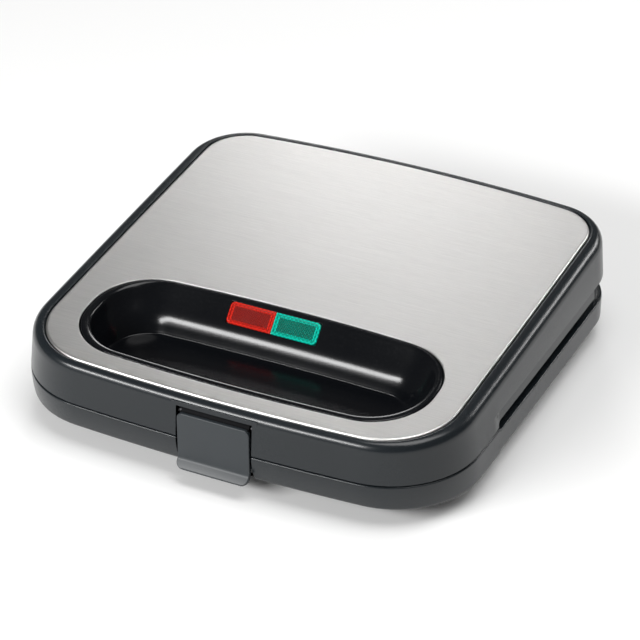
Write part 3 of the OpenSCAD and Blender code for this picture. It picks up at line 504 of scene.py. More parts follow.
def roundBox(w, d, r, x=0.0, y=0.0, n=8):
    # rounded rectangle in plan, anticlockwise
    points = []
    for sx, sy, a in ((1, -1, -90), (1, 1, 0), (-1, 1, 90), (-1, -1, 180)):
        for i in range(n + 1):
            t = radians(a + 90 * i / n)
            points.append((x + sx * (w / 2 - r) + r * cos(t), y + sy * (d / 2 - r) + r * sin(t)))
    return np.array(points)


def clipped(points, limit, front):
    # the part of an outline in front of, or behind, a line across the body
    ys = points[:, 1]
    keep = ys <= limit + 1e-6 if front else ys >= limit - 1e-6
    ids = np.flatnonzero(keep)
    if front:
        split = np.flatnonzero(np.diff(ids) > 1)[0] + 1
        ids = np.concatenate([ids[split:], ids[:split]])
    return points[ids]


def prism(points, z0, z1):
    return Shape().capped([ringAt(points, z0), ringAt(points, z1)])


def solid(shape, name):
    return newObject(name, shape.mesh(name))


def cutBox(lo, hi, name="cutter"):
    return solid(Shape().box(lo, hi), name)


def arcShape(c, r0, r1, a0, a1, x0, x1, n=18):
    # part of a ring about a left-right axis
    angles = [radians(a0 + (a1 - a0) * i / n) for i in range(n + 1)]
    section = [(c[0] + r1 * cos(a), c[1] + r1 * sin(a)) for a in angles]
    section += [(c[0] + r0 * cos(a), c[1] + r0 * sin(a)) for a in reversed(angles)]
    return Shape().capped([np.array([(x, p[0], p[1]) for p in section]) for x in (x1, x0)])


# Lid casing: a closed skin from the slot, up the wall, over the rounded edge and into the steel's seat
lidSet = {
    "wall": 2.5, "frontLow": 25.1, "partHeight": 24.8, "slotTop": 27.8, "stepHeight": 34.3, "slotFront": 46,
    "slotRear": 78, "bandIn": 1, "edgeShare": 0.8, "roundDepth": 5.8, "roundSteps": 12, "grooveWidth": 0.9,
    "grooveDepth": 1.8, "steelSeat": 0.75, "roof": 3, "notchBack": 9, "pocketWall": 2.5, "pocketFront": -117.2,
    "pocketBack": -108.5, "pocketLow": 25.7, "pocketRise": 5.4,
    "slotRound": 3, "bandFrom": 5, "bandLong": 7, "grooveFoot": -1.2, "seatOut": -1.5, "seatIn": -5,
    "roofFall": 0.4, "innerDrop": 2,
    # lower edge: offset, height at the front, and how much less at the sides
    "lowEdge": [(-0.9, 0, 0), (-0.3, 0.3, 0.14), (0, 0.8, 0.36)],
    # step over the side slot: offset, share, height from the step, least height over the lower edge
    "step": [(0, 1, -0.45, 0.45), (0.12, 1, -0.32, 0.5), (-0.25, 0, -0.06, 0), (-0.06, 0, 0.1, 0),
             (0, 0, 0.35, 0)],
    # rounded top edge: last angle, and the share and depth it would meet at 90 degrees
    "roundAngle": 82, "roundShare": 0.24, "roundTop": 0.2,
    # raised lip and groove round the steel: offset from the groove's outer wall, depth
    "lip": [(0.95, 0.19), (0.65, 0.16), (0.38, 0.2), (0.15, 0.32), (0.03, 0.52), (0, 0.9)],
}
sideStations = sorted(
    [-64, -58, -53, -51, -49.5, -48, -47] + [-43 - 3 * cos(radians(a)) for a in range(0, 91, 10)]
    + [-42, -40, -30, -20, -10, 0, 10, 20, 30, 40, 50, 60, 68, 74, 77.8, 78, 79.5])


def plan(line, d=0.0):
    return outline(line, d, sideStations)


def wallPlans(line, d, into):
    # a line and the parting line pushed out by d, then both again further in
    return [plan(o, e) for e in (d, d - into) for o in (line, partLine)]


def lidLow(y, s=lidSet):
    end = s["slotRound"] - s["slotFront"]
    reach = np.clip((end - y) / s["slotRound"], 0, 1)
    curve = s["frontLow"] + (s["slotTop"] - s["frontLow"]) * np.sqrt(1 - reach ** 2)
    behind = np.where(y < s["slotRear"] - 0.1, s["slotTop"], s["stepHeight"] - 0.5)
    return np.where(y <= -s["slotFront"], s["frontLow"], np.where(y < end, curve, behind))


def edgeLine(t):
    return steelLine + (partLine - steelLine) * t


def bandShare(y, s=lidSet):
    # 0 at the front, 1 where the side wall stands back over the slot
    return np.clip((y + s["slotFront"] + s["bandFrom"]) / s["bandLong"], 0, 1)


def lidWall(d, share, height, s=lidSet):
    a, b, ai, bi = wallPlans(edgeLine(s["edgeShare"]), d, s["bandIn"])
    take = (share * bandShare(b[:, 1]))[:, None]
    high = topAt(a[:, 1]) - s["roundDepth"]
    z = height(b[:, 1])
    f = ((high - z) / (high - s["partHeight"]))[:, None]
    upper, lower = a + (ai - a) * take, b + (bi - b) * take
    return ringAt(upper + (lower - upper) * f, z)


def stepWall(d, share, height):
    # a ring of the step over the slot: its offset fades out towards the plain front
    plain, full = lidWall(0, share, height), lidWall(d, share, height)
    return plain + (full - plain) * bandShare(plain[:, 1])[:, None]


def steelRing(d, depth):
    return underTop(plan(steelLine, d), depth)


def lidRings(s=lidSet):
    rings = [lidWall(-s["wall"] - s["bandIn"], 0, lidLow)]
    for d, up, less in s["lowEdge"]:
        rings.append(lidWall(d, 1, lambda y: lidLow(y) + up - less * bandShare(y)))
    for d, share, up, least in s["step"]:
        rings.append(stepWall(d, share, lambda y: np.maximum(s["stepHeight"] + up, lidLow(y) + least)))
    for i in range(s["roundSteps"] + 1):
        a = radians(s["roundAngle"] * i / s["roundSteps"])
        share = s["roundShare"] + (s["edgeShare"] - s["roundShare"]) * cos(a)
        depth = s["roundTop"] + (s["roundDepth"] - s["roundTop"]) * (1 - sin(a))
        rings.append(underTop(plan(edgeLine(share)), depth))
    g, seat = s["grooveWidth"], s["steelSeat"]
    roof = seat + s["roof"]
    rings += [steelRing(g + d, depth) for d, depth in s["lip"]]
    rings += [steelRing(d, depth) for d, depth in (
        (g, s["grooveDepth"]), (s["grooveFoot"], s["grooveDepth"]), (s["seatOut"], seat), (s["seatIn"], seat),
        (s["seatIn"], roof), (0, roof + s["roofFall"]))]
    inner = plan(edgeLine(s["edgeShare"]), -s["wall"] - s["bandIn"])
    return rings + [underTop(inner, s["roundDepth"] + s["innerDrop"])]


hingeSet = {
    "y": 108.8, "z": 34, "x": 40, "earRadius": 5, "lugWidth": 8, "earWidth": 5, "gap": 0.3,
    "apronRadius": 9.4, "apronReach": 80, "apronWall": 2, "lugTop": 3.3,
    "apronAngles": (-76, -2, 14), "apronGap": 1.5,
}
latchSet = {
    "x": 2.2, "width": 38.4, "top": 39.2, "low": 8.4, "thick": 2.2, "face": -119.1, "lip": 3.8, "bend": 3.2,
    "bendAngle": 42, "corner": 3, "lipCorner": 4, "gap": 1, "above": 3, "pinY": -113.8, "pinZ": 38,
    "barrel": 2.8, "hookWidth": 22, "hookTop": 19.4, "hookLow": 16.8, "hookIn": -109.4, "edge": 0.45,
    "inset": 1, "ribX": 14, "ribHalf": 0.8, "ribBack": -114.6, "ribLap": 3, "webLow": 2.4, "webHigh": 0.8,
    "innerRound": 0.3, "slack": 0.1, "bendSteps": 16,
}
# half the notch's width, and how far its cutters reach
cheek = latchSet["width"] / 2 + latchSet["gap"]
through = 400
plateSet = {
    "width": 220, "depth": 126, "y": 32.1, "corner": 11, "bodyIn": 6, "bodyCorner": 8, "flange": 2.65,
    "lowTop": 24.8, "upLow": 25.2, "pocket": 8, "thick": 2.5, "ridge": 4, "rimIn": 2.6, "pocketRound": 5,
    "postX": 85, "postY": 40, "screwX": 106.8, "screwY": 51,
    # posts under the body: radius, height from its underside
    "post": [(1.4, -7.3), (1.4, -6.35), (3, -6.35), (3, 0.5)],
    # rounded upper edge: inset, height
    "edge": [(0.8, 0), (0.45, -0.07), (0.18, -0.25), (0.04, -0.5), (0, -0.8)],
    # rounded lower edge of the body: inset, height over its underside
    "foot": [(0, 1.5), (0.45, 0.45), (1.5, 0)], "flangeRound": 0.3,
}


def notchBox(back, z1, s=latchSet):
    return cutBox((s["x"] - cheek, -through, 0), (s["x"] + cheek, partLine[1] + back, z1))


def roundedLoop(points, r, n=4):
    # the same flat outline with its corners rounded
    out = []
    count = len(points)
    for i in range(count):
        a, b, c = (np.array(points[(i + k) % count], float) for k in (-1, 0, 1))
        u, v = (a - b) / np.linalg.norm(a - b), (c - b) / np.linalg.norm(c - b)
        half = acos(np.clip(u @ v, -1, 1)) / 2
        cut = min(r / tan(half), np.linalg.norm(a - b) / 2.1, np.linalg.norm(c - b) / 2.1)
        p, q = b + u * cut, b + v * cut
        for k in range(n + 1):
            t = k / n
            out.append((1 - t) ** 2 * p + 2 * t * (1 - t) * b + t * t * q)
    return np.array(out)


def makeLidShell(s=lidSet, h=hingeSet, notch=latchSet):
    skin = solid(Shape().loft(lidRings(), closed=True), "lidCasing")
    wide = cheek + s["pocketWall"]
    pocket = cutBox((notch["x"] - wide, s["pocketFront"], s["pocketLow"]),
                    (notch["x"] + wide, s["pocketBack"], notch["top"] + s["pocketRise"]), "pocket")
    for part in (skin, pocket):
        carve(part, [notchBox(s["notchBack"], notch["top"] + notch["above"])])
    extra = Shape()
    half, y, z, r = h["lugWidth"] / 2, h["y"], h["z"], h["earRadius"]
    for x in (-h["x"], h["x"]):
        extra.rodX(x - half, x + half, y, z, r, 48)
        extra.box((x - half, y - r, z), (x + half, y + r, topAt(y) - h["lugTop"]))
    # the apron behind the hinge is cut away below the lugs and ears
    gap, far = half + h["earWidth"] + h["apronGap"], h["apronReach"]
    spans = []
    full, cut, end = h["apronAngles"]
    for x0, x1, start in ((-far, -h["x"] - gap, full), (gap - h["x"], h["x"] - gap, full),
                          (h["x"] + gap, far, full), (-h["x"] - gap, gap - h["x"], cut),
                          (h["x"] - gap, h["x"] + gap, cut)):
        arc = arcShape((y, z), h["apronRadius"] - h["apronWall"], h["apronRadius"], start, end, x0, x1)
        spans.append(solid(arc, "apron"))
    return join(skin, [pocket, solid(extra, "lugs")] + spans)


piece(makeLidShell(), "lid", "case", ["lid_shell"])
print("lid casing made")


# Base casing: drawn in towards its lower rim, set back behind the front corners
baseSet = {
    "rim": 10, "front": 24.8, "ledge": 22.4, "slotFront": 46, "sideIn": 0.8, "wall": 2.5, "notchBack": 5.8,
    "topRound": 0.8, "glandX": -74, "glandZ": 15.6, "glandBore": 4.45, "ringBore": 5.3, "ringDeep": 2.2,
    "boreReach": (100, 140), "earBack": 1.6, "padStep": 0.02, "roundSteps": 5,
    "glandFace": 117.1, "glandWall": 111.6, "glandIn": 109.5, "padHalf": 8, "padLow": 12.6, "padTop": 21,
    "deckIn": -2, "deckLow": 20, "deckTop": 22, "frontTop": 24.6, "ribRear": -46, "ribFront": -48,
    "ribHalf": 117, "plateHole": (209.2, 115.2, 8.6), "hookCut": ((-12, -119, 14.9), (12, -108, 19.9)),
    # block behind the notch: front, rear and lower end of its two steps
    "seat": [(-114, -106, 10), (-116, -113, 14)], "seatWall": 2,
    # lower edge and wall: offset, share of the height
    "lowEdge": [(-0.9, 0), (-0.55, 0.006), (-0.25, 0.03), (-0.06, 0.065)],
    "rise": (0.1, 0.17, 0.25, 0.35, 0.45, 0.57, 0.7, 0.83, 0.93),
}


def baseRing(d, f, s=baseSet):
    a, b, ai, bi = wallPlans(baseLine, d, s["sideIn"])
    g = 1 - (1 - f) ** 2
    behind = (b[:, 1] > -s["slotFront"] + 1e-6)
    line = np.where(behind[:, None], ai + (bi - ai) * g, a + (b - a) * g)
    return ringAt(line, s["rim"] + (np.where(behind, s["ledge"], s["front"]) - s["rim"]) * f)


def boreY(radius, y0, y1, s=baseSet):
    # a cutter along the cord's bore
    turns = np.arange(48) * tau / 48
    ring = [np.column_stack([s["glandX"] + radius * np.cos(turns), np.full(48, y),
                             s["glandZ"] + radius * np.sin(turns)]) for y in (y1, y0)]
    return solid(Shape().capped(ring), "cutter")


def makeBaseShell(s=baseSet, h=hingeSet):
    def notch():
        return notchBox(s["notchBack"], through)

    def bore():
        return boreY(s["glandBore"], *s["boreReach"])

    steps = [(-s["wall"], 0)] + s["lowEdge"] + [(0, f) for f in s["rise"]]
    r, high = s["topRound"], s["front"] - s["rim"]
    for t in np.linspace(0, pi / 2, s["roundSteps"] + 1):
        steps.append((r * (cos(t) - 1), 1 - r * (1 - sin(t)) / high))
    steps.append((-s["wall"], 1))
    skin = solid(Shape().loft([baseRing(d, f) for d, f in steps], closed=True), "baseCasing")
    carve(skin, [notch(), bore()])
    line = plan(partLine, s["deckIn"])
    hole = solid(prism(roundBox(*s["plateHole"], 0, plateSet["y"]), 0, 60), "cutter")
    rear = carve(solid(prism(clipped(line, s["ribFront"], False), s["deckLow"], s["deckTop"]), "deck"),
                 [hole, boreY(s["ringBore"], s["glandIn"] - s["ringDeep"], s["glandIn"])])
    front = carve(solid(prism(clipped(line, s["ribRear"], True), s["ledge"], s["frontTop"]), "deck"),
                  [notch()])
    x, wide = latchSet["x"], cheek + s["seatWall"]
    hookCut = [(x + p[0], p[1], p[2]) for p in s["hookCut"]]
    seats = [carve(cutBox((x - wide, y0, z), (x + wide, y1, s["frontTop"]), "seat"),
                   [notch(), cutBox(*hookCut)]) for y0, y1, z in s["seat"]]
    extra = Shape().box((-s["ribHalf"], s["ribFront"], s["deckLow"]),
                        (s["ribHalf"], s["ribRear"], s["frontTop"]))
    half, y, z, r = h["earWidth"] / 2, h["y"], h["z"], h["earRadius"]
    ear = h["lugWidth"] / 2 + h["gap"] + half
    for x in (-h["x"] - ear, ear - h["x"], h["x"] - ear, h["x"] + ear):
        extra.rodX(x - half, x + half, y, z, r, 48)
        extra.box((x - half, y - r, s["padTop"]), (x + half, y - s["earBack"], z))
    x0, x1 = s["glandX"] - s["padHalf"], s["glandX"] + s["padHalf"]
    pads = [carve(cutBox((x0, y, z), (x1, s["glandFace"] - k, s["padTop"]), "pad"), [bore()])
            for y, z, k in ((s["glandIn"], s["padLow"], 0), (s["glandWall"], s["rim"], s["padStep"]))]
    return join(skin, [rear, front, solid(extra, "ears")] + seats + pads)


piece(makeBaseShell(), "base", "case", ["base_shell"])
print("base casing made")


# Handle recess: groove, lip, sloping rear face, rolled shoulder and flat floor
recessSet = {
    "width": 187.6, "y": -65.8, "radius": 36.1, "bow": 4.3, "floor": 29.6, "wall": 2, "wallIn": 2.2,
    "sink": 0.035, "endRound": 0.99, "steps": (30, 26, 30),
    # flange under the steel: offset, depth under the seat
    "flange": [(-1.1, 1.5), (-3.6, 1.5), (-3.6, 0), (0.5, 0)],
    # offsets at the rear, the ends and the front, share of the depth
    "lip": [
        [0.9, 0.9, 0.9, 0.085], [0.93, 0.93, 0.93, 0.035], [1, 1, 1, 0.022], [1.15, 1.15, 1.15, 0.014],
        [1.35, 1.5, 1.5, 0.009], [1.5, 2.3, 2.4, 0.005], [1.65, 3.1, 3.2, 0.006], [1.8, 3.8, 4, 0.013],
        [2.05, 4.4, 4.6, 0.026], [2.5, 4.8, 5, 0.046]],
    "slope": [
        [3.4, 5.3, 5.35, 0.09], [5.7, 6.2, 5.6, 0.2], [8, 7.1, 5.8, 0.31], [12.5, 9.2, 6.1, 0.525],
        [14.4, 10.3, 6.4, 0.64], [15.9, 11.3, 6.7, 0.76], [16.9, 12.1, 7.1, 0.86], [17.9, 12.9, 7.8, 0.955],
        [18.7, 13.6, 8.5, 0.995], [22.6, 17.5, 12, 1]],
}


def recessLine(rear, end, front, s=recessSet):
    yf, yb = s["y"] - s["radius"] + front, s["y"] + s["radius"] - rear
    h = (yb - yf) / 2
    bow = s["bow"] * (h / s["radius"]) ** 2
    r = s["endRound"] * h - bow
    return outline([s["width"] / 2 - end, yf, yb, r, r, bow, bow, 0.05], 0, [], *s["steps"])


def recessRing(e, depth):
    return underTop(recessLine(e, e, e), depth)


def sunk(points, share, z):
    return ringAt(points, topAt(points[:, 1]) * (1 - share) + z * share)


def spline(rows, parts=4):
    # Catmull-Rom curve through the rows
    rows = np.array(rows, float)
    ends = np.concatenate([[2 * rows[0] - rows[1]], rows, [2 * rows[-1] - rows[-2]]])
    out = []
    for i in range(1, len(rows)):
        p0, p1, p2, p3 = ends[i - 1:i + 3]
        for k in range(parts):
            t = k / parts
            out.append(0.5 * (2 * p1 + (p2 - p0) * t + (2 * p0 - 5 * p1 + 4 * p2 - p3) * t * t
                              + (3 * p1 - p0 - 3 * p2 + p3) * t ** 3))
    return out + [rows[-1]]


slopeTop, slopeLow = recessSet["slope"][0], recessSet["slope"][3]
slopeY = [recessSet["y"] + recessSet["radius"] - r[0] for r in (slopeTop, slopeLow)]
slopeZ = [topAt(y) * (1 - r[3]) + recessSet["floor"] * r[3] for y, r in zip(slopeY, (slopeTop, slopeLow))]
slopeAngle = atan2(slopeZ[0] - slopeZ[1], slopeY[0] - slopeY[1])
lensSet = {
    "x": -6.7, "at": 0.43, "width": 24.7, "height": 11.3, "thick": 3, "out": 0.5, "gap": 0.1, "corner": 2.2,
    "rim": 0.95, "grooveIn": 0.55, "grooveDepth": 0.5, "panel": 0.12, "pitch": 1.15, "prism": 0.32,
    "leastCorner": 0.25, "butt": 0.3, "leastButt": 0.12, "holeGap": 0.1, "holeReach": 6, "panelIn": 0.1,
}


def onSlope(p):
    # a point of the lenses' own frame, z out of the slope, in the plan's millimetres
    c, s, k = cos(slopeAngle), sin(slopeAngle), lensSet["at"]
    y0, z0 = slopeY[0] + (slopeY[1] - slopeY[0]) * k, slopeZ[0] + (slopeZ[1] - slopeZ[0]) * k
    return (lensSet["x"] + p[0], y0 + p[1] * c - p[2] * s, z0 + p[1] * s + p[2] * c)


def makeRecess(s=recessSet):
    rings = []
    for r in s["slope"][::-1]:
        ring = recessLine(r[0] - s["wallIn"], r[1] - s["wallIn"], r[2] - s["wall"])
        rings.append(sunk(ring, min(1, r[3] + s["sink"]), s["floor"] - s["wall"]))
    rings += [recessRing(e, lidSet["steelSeat"] + down) for e, down in s["flange"]]
    rings += [sunk(recessLine(*r[:3]), min(r[3], 1), s["floor"]) for r in s["lip"] + spline(s["slope"])]
    basin = solid(Shape().capped(rings), "handleRecess")
    e = lensSet
    x1, y1, z1 = e["width"] + e["holeGap"], e["height"] / 2 + e["holeGap"], e["holeReach"]
    corners = [(x, y, z) for z in (-z1, z1) for y in (-y1, y1) for x in (-x1, x1)]
    return carve(basin, [solid(Shape().add([onSlope(p) for p in corners], boxFaces), "cutter")])


piece(makeRecess(), "lid", "recess", ["handle_recess"], 40)
print("recess made")


# Steel cover: flat sheet with a rounded, turned-down edge and the recess's opening
steelSet = {
    "thick": 0.7, "edge": 1.5, "edgeRound": 1.15, "holeRound": 0.3, "steps": 7, "flat": 0.4, "turn": 0.6,
}


def makeSteel(s=steelSet):
    shape = Shape()
    r, t, q, turn = s["edgeRound"], s["thick"], s["holeRound"], s["turn"]
    # offsets where the rounded edges end and the flat sheet begins
    outer, inner = -r - s["flat"], -q - s["flat"]
    edge = [(-r * (1 - cos(a)), r * (1 - sin(a)))
            for a in np.linspace(0, pi / 2, s["steps"] + 1)]
    hole = [(-q * (1 - sin(a)), q * (1 - cos(a))) for a in np.linspace(0, pi / 2, 5)]
    shape.loft([steelRing(*row) for row in [(-t, s["edge"]), (0, s["edge"])] + edge + [(outer, 0)]])
    shape.loft([steelRing(-t - turn, t), steelRing(-t, t + turn), steelRing(-t, s["edge"])])
    shape.loft([recessRing(*row) for row in [(inner, 0)] + hole + [(0, t)]])
    shape.sheetWithHoles(plan(steelLine, outer), [recessLine(inner, inner, inner)], topAt)
    under = Shape().sheetWithHoles(plan(steelLine, -t - turn), [recessLine(0, 0, 0)], lambda y: topAt(y) - t)
    shape.add(under.points, [f[::-1] for f in under.faces])
    return solid(shape, "steelCover")


piece(makeSteel(), "lid", "steel", ["steel_cover"], 40)
print("steel cover made")


# Lenses: clear rim, sunk line inside it, then a panel of small prisms
def lensOutline(side, inset, e=lensSet):
    # butted at the middle, rounded at the two outer corners
    x0, x1 = (e["gap"] / 2 + inset, e["width"] - e["gap"] / 2 - inset)
    y = e["height"] / 2 - inset
    r = max(e["leastCorner"], e["corner"] - inset)
    inner = max(e["leastButt"], e["butt"] - inset * 0.2)
    points = []
    for cx, cy, rr, a in ((x1, -y, r, -90), (x1, y, r, 0), (x0, y, inner, 90), (x0, -y, inner, 180)):
        sx, sy = (1 if cx == x1 else -1), (1 if cy > 0 else -1)
        for i in range(9):
            t = radians(a + 90 * i / 8)
            points.append((cx - sx * rr + rr * cos(t), cy - sy * rr + rr * sin(t)))
    points = np.array(points)
    return points if side > 0 else (points * [-1, 1])[::-1]


def makeLens(side, name, e=lensSet):
    out, rim, g = e["out"], e["rim"], e["grooveIn"]
    # inset and height of each ring, from the back over the rim to the panel
    rows = [(0, out - e["thick"]), (0, out - 0.35), (0.08, out - 0.12), (0.3, out), (rim - 0.15, out),
            (rim, out - 0.1), (rim + 0.04, out - e["grooveDepth"]), (rim + g - 0.08, out - e["grooveDepth"]),
            (rim + g, out - e["panel"] - 0.1), (rim + g + e["panelIn"], out - e["panel"])]
    rings = [np.array([onSlope((*p, z)) for p in lensOutline(side, inset)]) for inset, z in rows]
    return solid(Shape().capped(rings), name)


def geometryTree(name, *labels):
    # an empty tree with points and named numbers as its inputs
    tree = bpy.data.node_groups.new(name, "GeometryNodeTree")
    face = tree.interface
    face.new_socket("Geometry", in_out="INPUT", socket_type="NodeSocketGeometry")
    for label in labels:
        face.new_socket(label, in_out="INPUT", socket_type="NodeSocketFloat")
    face.new_socket("Geometry", in_out="OUTPUT", socket_type="NodeSocketGeometry")
    return tree, tree.nodes.new("NodeGroupInput").outputs


def vector(tree, x, y, z):
    return add(tree, "ShaderNodeCombineXYZ", X=x, Y=y, Z=z).outputs[0]


def scatter(tree, points, thing, turn, material):
    # one copy at each point, made real and given its material
    put = add(tree, "GeometryNodeInstanceOnPoints", Points=points, Instance=thing, Rotation=turn)
    real = add(tree, "GeometryNodeRealizeInstances", i0=put.outputs[0])
    paint = add(tree, "GeometryNodeSetMaterial", Geometry=real.outputs[0], Material=material)
    tree.links.new(paint.outputs[0], tree.nodes.new("NodeGroupOutput").inputs[0])
    return tree


def grow(tree, name, points, values):
    # points carry the repeats; the evaluated result becomes a plain mesh
    data = bpy.data.meshes.new(name)
    data.from_pydata([(p[0] * mm, (p[1] + planShift) * mm, p[2] * mm) for p in points], [], [])
    obj = newObject(name, data)
    made = obj.modifiers.new("grow", "NODES")
    made.node_group = tree
    ids = {item.name: item.identifier for item in tree.interface.items_tree if item.in_out == "INPUT"}
    for label, value in values.items():
        made[ids[label]] = value
    return settle(obj)


def prismTree(material):
    # four-sided prisms at points, turned to lie on the slope
    tree, o = geometryTree("lensPrisms", "Pitch", "Height", "Tilt")
    cone = add(tree, "GeometryNodeMeshCone", {"fill_type": "NONE"}, Vertices=4, Side_Segments=1,
               Radius_Top=0.0, Radius_Bottom=o["Pitch"], Depth=o["Height"])
    return scatter(tree, o["Geometry"], cone.outputs["Mesh"], vector(tree, o["Tilt"], 0.0, 0.0), material)


def prismsFor(side, name, material, e=lensSet):
    inset = e["rim"] + e["grooveIn"] + e["panelIn"]
    p = e["pitch"]
    w, h = e["width"] - e["gap"] - 2 * inset, e["height"] - 2 * inset
    spots = []
    rows = int(h / p * 2) - 1
    for j in range(rows):
        y = (j - (rows - 1) / 2) * p / 2
        cols = int(w / p) - (j % 2)
        for i in range(cols):
            x = (i - (cols - 1) / 2) * p
            spots.append(onSlope((side * e["width"] / 2 + x, y, e["out"] - e["panel"])))
    return grow(prismTree(material), name, spots, {
        "Pitch": p / 2 * mm, "Height": e["prism"] * mm, "Tilt": slopeAngle})


for side, name, tone, slotName in ((-1, "redLens", "red", "red_lens"), (1, "greenLens", "green", "green_lens")):
    lens = makeLens(side, name)
    prisms = prismsFor(side, name + "Prisms", materials[tone])
    piece(join(lens, [prisms]), "lid", tone, [slotName], 25)
print("lenses made")


# Latch: a flat plate in the notch, curled forward at its lower end
def latchPath(s=latchSet):
    # y and z of the front face, its lean, and the distance along the plate
    a = radians(s["bendAngle"])
    lip = (s["lip"] - s["slack"] - s["bend"] * (1 - cos(a))) / sin(a)
    bendZ = s["low"] + (s["bend"] + s["thick"]) * sin(a) + lip * cos(a)
    bendY, flat = s["face"] - s["bend"], s["top"] - bendZ
    # stations lie closer together towards both ends, where the corners are rounded
    path = [(s["face"], s["top"] - v, 0.0, v) for v in (
        0, 0.06, 0.15, 0.3, 0.5, 0.8, 1.2, 1.8, 2.4, 3.2, 6, 10, 14, 18, flat - 3, flat - 1, flat - 0.3)]
    for i in range(s["bendSteps"] + 1):
        b = a * i / s["bendSteps"]
        path.append((bendY + s["bend"] * cos(b), bendZ - s["bend"] * sin(b), b, flat + s["bend"] * b))
    end = flat + s["bend"] * a
    y1, z1 = path[-1][:2]
    for v in [0.5, 1.2] + [lip - 4 + 4 * k / 10 for k in range(11)] + [lip - 0.12, lip]:
        if 0.3 < v <= lip:
            path.append((y1 - sin(a) * v, z1 - cos(a) * v, a, end + v))
    path.sort(key=lambda p: p[3])
    return path, end + lip


def makeLatch(s=latchSet):
    path, total = latchPath()
    half, t, e = s["width"] / 2, s["thick"], s["edge"]
    rings = []
    for y, z, b, v in path:
        w = half
        for gap, r in ((v, s["corner"]), (total - v, s["lipCorner"])):
            if gap < r:
                w = min(w, half - r + sqrt(max(0, r * r - (r - gap) ** 2)))
        near = min(v, total - v)
        thin = e - sqrt(max(0, e * e - (e - near) ** 2)) if near < e else 0
        # section across the plate: x and depth behind the front face
        section = roundedLoop([(-w, thin), (w, thin), (w, t - thin), (-w, t - thin)], e, 5)
        ny, nz = cos(b), -sin(b)
        rings.append(np.array([(s["x"] + p[0], y + p[1] * ny, z + p[1] * nz) for p in section]))
    plate = solid(Shape().capped(rings[::-1]), "latch")
    x, y, long = s["x"], s["face"] + s["inset"], half - s["inset"]
    inner = Shape().rodX(x - long, x + long, s["pinY"], s["pinZ"], s["barrel"], 48)
    inner.box((x - long, y, s["pinZ"] - s["webLow"]), (x + long, s["pinY"], s["pinZ"] + s["webHigh"]))
    inner.box((x - s["hookWidth"] / 2, y, s["hookLow"]), (x + s["hookWidth"] / 2, s["hookIn"], s["hookTop"]))
    for rib in (x - s["ribX"], x + s["ribX"]):
        inner.box((rib - s["ribHalf"], y, s["hookTop"] - s["ribLap"]),
                  (rib + s["ribHalf"], s["ribBack"], s["pinZ"]))
    return plate, rounded(solid(inner, "latchInner"), s["innerRound"], 2)


latchPlate, latchInner = makeLatch()
piece(latchPlate, "latch", "latch", ["latch"])
# the latch's inner parts take the painted-shade black
piece(latchInner, "latch", "matt", [])
print("latch made")


# Cooking plates: flanged castings with four triangular pockets
def triRing(p, d, r, z, n=10):
    out = []
    for i in range(3):
        a, b, c = p[(i + 2) % 3], p[i], p[(i + 1) % 3]
        u, v = (a - b) / np.linalg.norm(a - b), (c - b) / np.linalg.norm(c - b)
        w = (u + v) / np.linalg.norm(u + v)
        k = b + w * (d + r) / sin(acos(u @ v) / 2)
        a0, a1 = atan2(u[0], -u[1]), atan2(-v[0], v[1])
        turn = (a1 - a0) % tau
        out += [(k[0] + r * cos(a0 + turn * j / n), k[1] + r * sin(a0 + turn * j / n), z)
                for j in range(n + 1)]
    return np.array(out)


pocketRows = [(-0.5, 0), (0.1, -0.06), (0.6, -0.27), (0.95, -0.62), (1.2, -1.1), (2.0, -3.4), (2.75, -5.5),
              (3.15, -6.35), (3.75, -7.1), (4.6, -7.65), (5.6, -7.93), (6.6, -8)]


def makePlate(facesDown, name, s=plateSet):
    part = Shape()
    x0, x1 = s["ridge"] / 2, s["width"] / 2 - s["bodyIn"] - s["rimIn"]
    y1 = s["depth"] / 2 - s["bodyIn"] - s["rimIn"]
    g = s["ridge"] / 2 * hypot(x1 - x0, 2 * y1)
    dx, dy = g / (2 * y1), g / (x1 - x0)
    near = np.array([(x0, -y1), (x1 - dx, -y1), (x0, y1 - dy)])
    away = np.array([(x1, y1), (x0 + dx, y1), (x1, -y1 + dy)])
    loops = []
    for tri in (near, away, (near * [-1, 1])[::-1], (away * [-1, 1])[::-1]):
        rings = [triRing(tri, d, s["pocketRound"], z) for d, z in pocketRows]
        loops.append(rings[0][:, :2])
        part.loft(rings, capEnd=True)
    w, d, r = s["width"], s["depth"], s["corner"]
    bw, bd, br = w - 2 * s["bodyIn"], d - 2 * s["bodyIn"], s["bodyCorner"]
    low, under = -s["pocket"] - s["thick"], -s["flange"]
    f = s["flangeRound"]
    rings = [ringAt(roundBox(w - 2 * e, d - 2 * e, r - e, n=14), z)
             for e, z in s["edge"] + [(0, under + f), (f, under)]]
    rings += [ringAt(roundBox(bw - 2 * e, bd - 2 * e, br - e, n=14), z)
              for e, z in [(0, under)] + [(e, low + up) for e, up in s["foot"]]]
    part.sheetWithHoles(rings[0][:, :2], loops, lambda y: 0.0)
    part.loft(rings[::-1], capStart=True)
    for x in (-s["postX"], s["postX"]):
        for y in (-s["postY"], s["postY"]):
            part.capped(tube((x, y), [(r, low + z) for r, z in s["post"]], 24))
    way, height = (-1, s["upLow"]) if facesDown else (1, s["lowTop"])
    points = np.array(part.points, float) * [1, 1, way] + [0, s["y"], height]
    return solid(Shape().add(points, [f[::way] for f in part.faces]), name)


piece(makePlate(False, "lowerPlate"), "base", "plate", ["lower_plate"])
piece(makePlate(True, "upperPlate"), "lid", "plate", ["upper_plate"])
print("cooking plates made")


